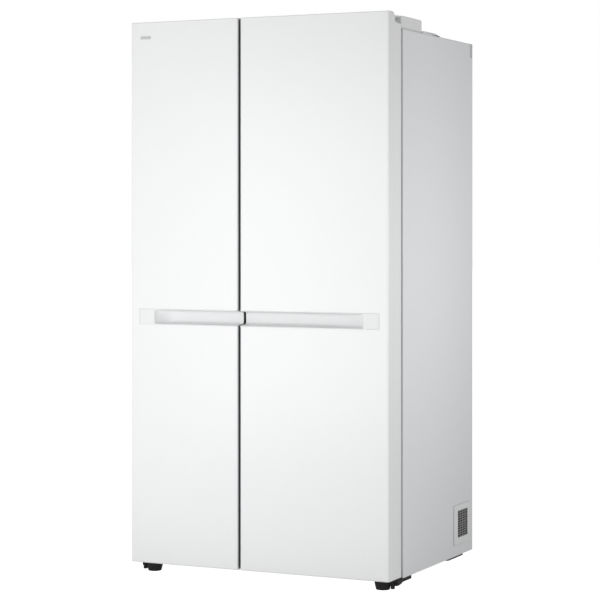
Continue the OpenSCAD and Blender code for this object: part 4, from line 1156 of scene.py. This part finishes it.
shelfSet = {"low": 0.392, "pitch": 0.26, "count": 5, "front": -0.140}
shelfRows = shelfSet["low"] + shelfSet["pitch"] * np.arange(shelfSet["count"])
for node, shelf, drawers in (("fridge_liner", "fridge_shelves", ("crisper_drawer_lower",
        "crisper_drawer_upper")), ("freezer_liner", "freezer_shelves", ("freezer_drawer_lower",
        "freezer_drawer_upper"))):
    lo, hi = box[node]
    shapes = []
    back = box[shelf][1][1]
    w = linerSet["wall"]
    for z in shelfRows:
        for x in (lo[0] + w - 0.001, hi[0] - w - 0.008):
            shapes.append(softBlock((x, shelfSet["front"], z - 0.008), (x + 0.009, back, z - 0.0002),
                linerSet["rib"], "y"))
    low, high = box[drawers[0]], box[drawers[1]]
    for x0, x1 in ((lo[0] + w - 0.001, low[0][0] + 0.010), (low[1][0] - 0.010, hi[0] - w + 0.001)):
        shapes.append(softBlock((x0, -0.136, low[1][2] + 0.002), (x1, 0.085, high[0][2] - 0.0004), 0.003,
            "y"))
    makePiece(node + "Shell", [linerShell(lo, hi, linerSet)], "linerPlastic", "cabinet", [node],
        thick=linerSet["wall"])
    makePiece(node + "Ledges", shapes, "linerPlastic", "cabinet", ())

drawerSet = {"corner": 0.016, "wall": 0.003, "floor": 0.012, "draft": 0.003, "front": 0.006, "lip": 0.004}


# A drawer: a drafted tray behind a thicker front whose top edge curls forward for the fingers
def drawerShapes(lo, hi, s):
    front = lo[1] + s["lip"]
    z0, z1 = lo[2], hi[2]
    body = tray((lo[0], front + 0.001, z0), (hi[0], hi[1], z1 - 0.003), s["corner"], s["wall"], s["floor"],
        s["draft"], side=4)
    t = np.linspace(0, math.pi / 2, 5)
    line = [(front + s["front"], z1 - 0.002), (front + s["front"], z0 + 0.003), (front + s["front"] - 0.002,
        z0 + 0.001), (front + 0.002, z0 + 0.001), (front, z0 + 0.003), (front, z1 - 0.022), (front - 0.0008,
        z1 - 0.017), (front - 0.0026, z1 - 0.0125), (lo[1], z1 - 0.009), (lo[1], z1 - 0.004)]
    line += list(zip(lo[1] + 0.002 * (1 - np.cos(t)), z1 - 0.002 + 0.002 * np.sin(t)))
    line += [(front + s["front"] - 0.002, z1), (front + s["front"] - 0.0006, z1 - 0.0006)]
    return [body, softPrism("x", line, lo[0], hi[0], 0.0015)]


for node in ("crisper_drawer_upper", "crisper_drawer_lower", "freezer_drawer_upper", "freezer_drawer_lower"):
    makePiece(node + "Tray", drawerShapes(*box[node], drawerSet), "clearPlastic", node + "_body", [node])


lampSet = {"places": (((0.150, 0.060), (0.230, 0.130)), ((-0.288, 0.040), (-0.208, 0.110))), "corner": 0.008,
    "bulge": [(0, 0.003), (0.0006, 0.0019), (0.0018, 0.0010), (0.0035, 0.0006), (0.012, 0.0002), (0.022, 0)]}
lampLow, lampTop = (corner[2] for corner in box["interior_lamps"])


# A lamp lens: a rounded plate that bulges down in ever flatter steps of (inset, height)
def lampLens(lo, hi, s):
    profile = [(0, lampTop)] + [(i, lampLow + rise) for i, rise in s["bulge"]]
    return skinOf("z", insetSteps(lo, hi, s["corner"], profile), 6)


makePiece("lampLenses", [lampLens(lo, hi, lampSet) for lo, hi in lampSet["places"]], "lampLens", "cabinet",
    ["interior_lamps"])

# A button: a dished face down, a rounded edge and a straight side
buttonSet = {"face": [(0, 0.0009), (0.004, 0.0006), (0.0068, 0.0001), (0.0082, 0.0), (0.0088, 0.0005),
    (0.009, 0.0014)], "back": [(0.009, -0.0003), (0.0087, 0), (0, 0)]}
for node in ("fridge_temperature_button", "freezer_temperature_button"):
    lo, hi = box[node]
    line = buttonSet["face"] + [(r, hi[2] - lo[2] + z) for r, z in buttonSet["back"]]
    centre = ((lo[0] + hi[0]) / 2, (lo[1] + hi[1]) / 2, lo[2])
    makePiece(node + "Cap", [revolve(line, centre, "z", 48)], "whitePlastic", node + "_body", [node])

# The freezer door's plain badge, a pill whose raised rim stands round a flat middle
badgeSet = {"corner": 0.0049, "rim": [(0, 0.0005), (0.0002, 0.0002), (0.0006, 0), (0.0010, 0),
    (0.0012, 0.0002), (0.0020, 0.0002)]}
lo, hi = box["front_badge"]
badgeLine = [(0, hi[1])] + [(i, lo[1] + back) for i, back in badgeSet["rim"]]
badge = insetSteps((lo[0], lo[2]), (hi[0], hi[2]), badgeSet["corner"], badgeLine)
makePiece("plainBadge", [skinOf("y", badge, 8)], "badgeMetal", "freezer_door", ["front_badge"])

# The rest keep their CAD shape with their edges rounded
softNodes = {"front_frame": 0.0003, "rear_top_spacer": 0.0014, "base_frame": 0.0005,
    "upper_hinge_left": 0.0007, "upper_hinge_right": 0.0007, "lower_hinge_left": 0.0007,
    "lower_hinge_right": 0.0007, "fridge_duct_cover": 0.0012, "freezer_duct_cover": 0.0012,
    "fan_motors": 0.0008, "machine_cover": 0.0005, "cord_gland": 0.0009, "control_panel": 0.0008,
    "fridge_shelves": 0.0009, "freezer_shelves": 0.0009, "shelf_trims": 0.0010}
for node, width in softNodes.items():
    softenNode(node, "cabinet", width)
print("inside made")


floorSet = {"reach": 40, "grey": 0.5, "rough": 0.9, "glow": 0.20, "seen": 0.76, "ahead": 0.41, "start": 0.1,
    "fade": -1.4}


# A pale floor that lights itself, more ahead of the doors than beside the cabinet: its glow is
# glow + ahead * clamp((y + start) * fade), plus seen where the camera looks at it, so it runs out into the
# white
def makeFloor(s):
    reach = s["reach"]
    mesh = bpy.data.meshes.new("floor")
    corners = [(-reach, -reach, 0), (reach, -reach, 0), (reach, reach, 0), (-reach, reach, 0)]
    mesh.from_pydata(corners, [], [(0, 1, 2, 3)])
    floor = bpy.data.objects.new("floor", mesh)
    bpy.context.scene.collection.objects.link(floor)
    mat = bpy.data.materials.new("floorPaint")
    mat.use_nodes = True
    tree = mat.node_tree
    shader = tree.nodes["Principled BSDF"]
    shader.inputs["Base Color"].default_value = (s["grey"], s["grey"], s["grey"], 1)
    shader.inputs["Roughness"].default_value = s["rough"]
    shader.inputs["Emission Color"].default_value = (1, 1, 1, 1)
    seen = tree.nodes.new("ShaderNodeLightPath").outputs["Is Camera Ray"]
    split = tree.nodes.new("ShaderNodeSeparateXYZ")
    tree.links.new(objectPoint(tree), split.inputs[0])
    ahead = addMath(tree, "ADD", split.outputs["Y"], s["start"])
    ahead = addMath(tree, "MULTIPLY", ahead, s["fade"], True)
    given = addScaled(tree, ahead, s["ahead"], s["glow"])
    tree.links.new(addScaled(tree, seen, s["seen"], given), shader.inputs["Emission Strength"])
    mesh.materials.append(mat)


makeFloor(floorSet)
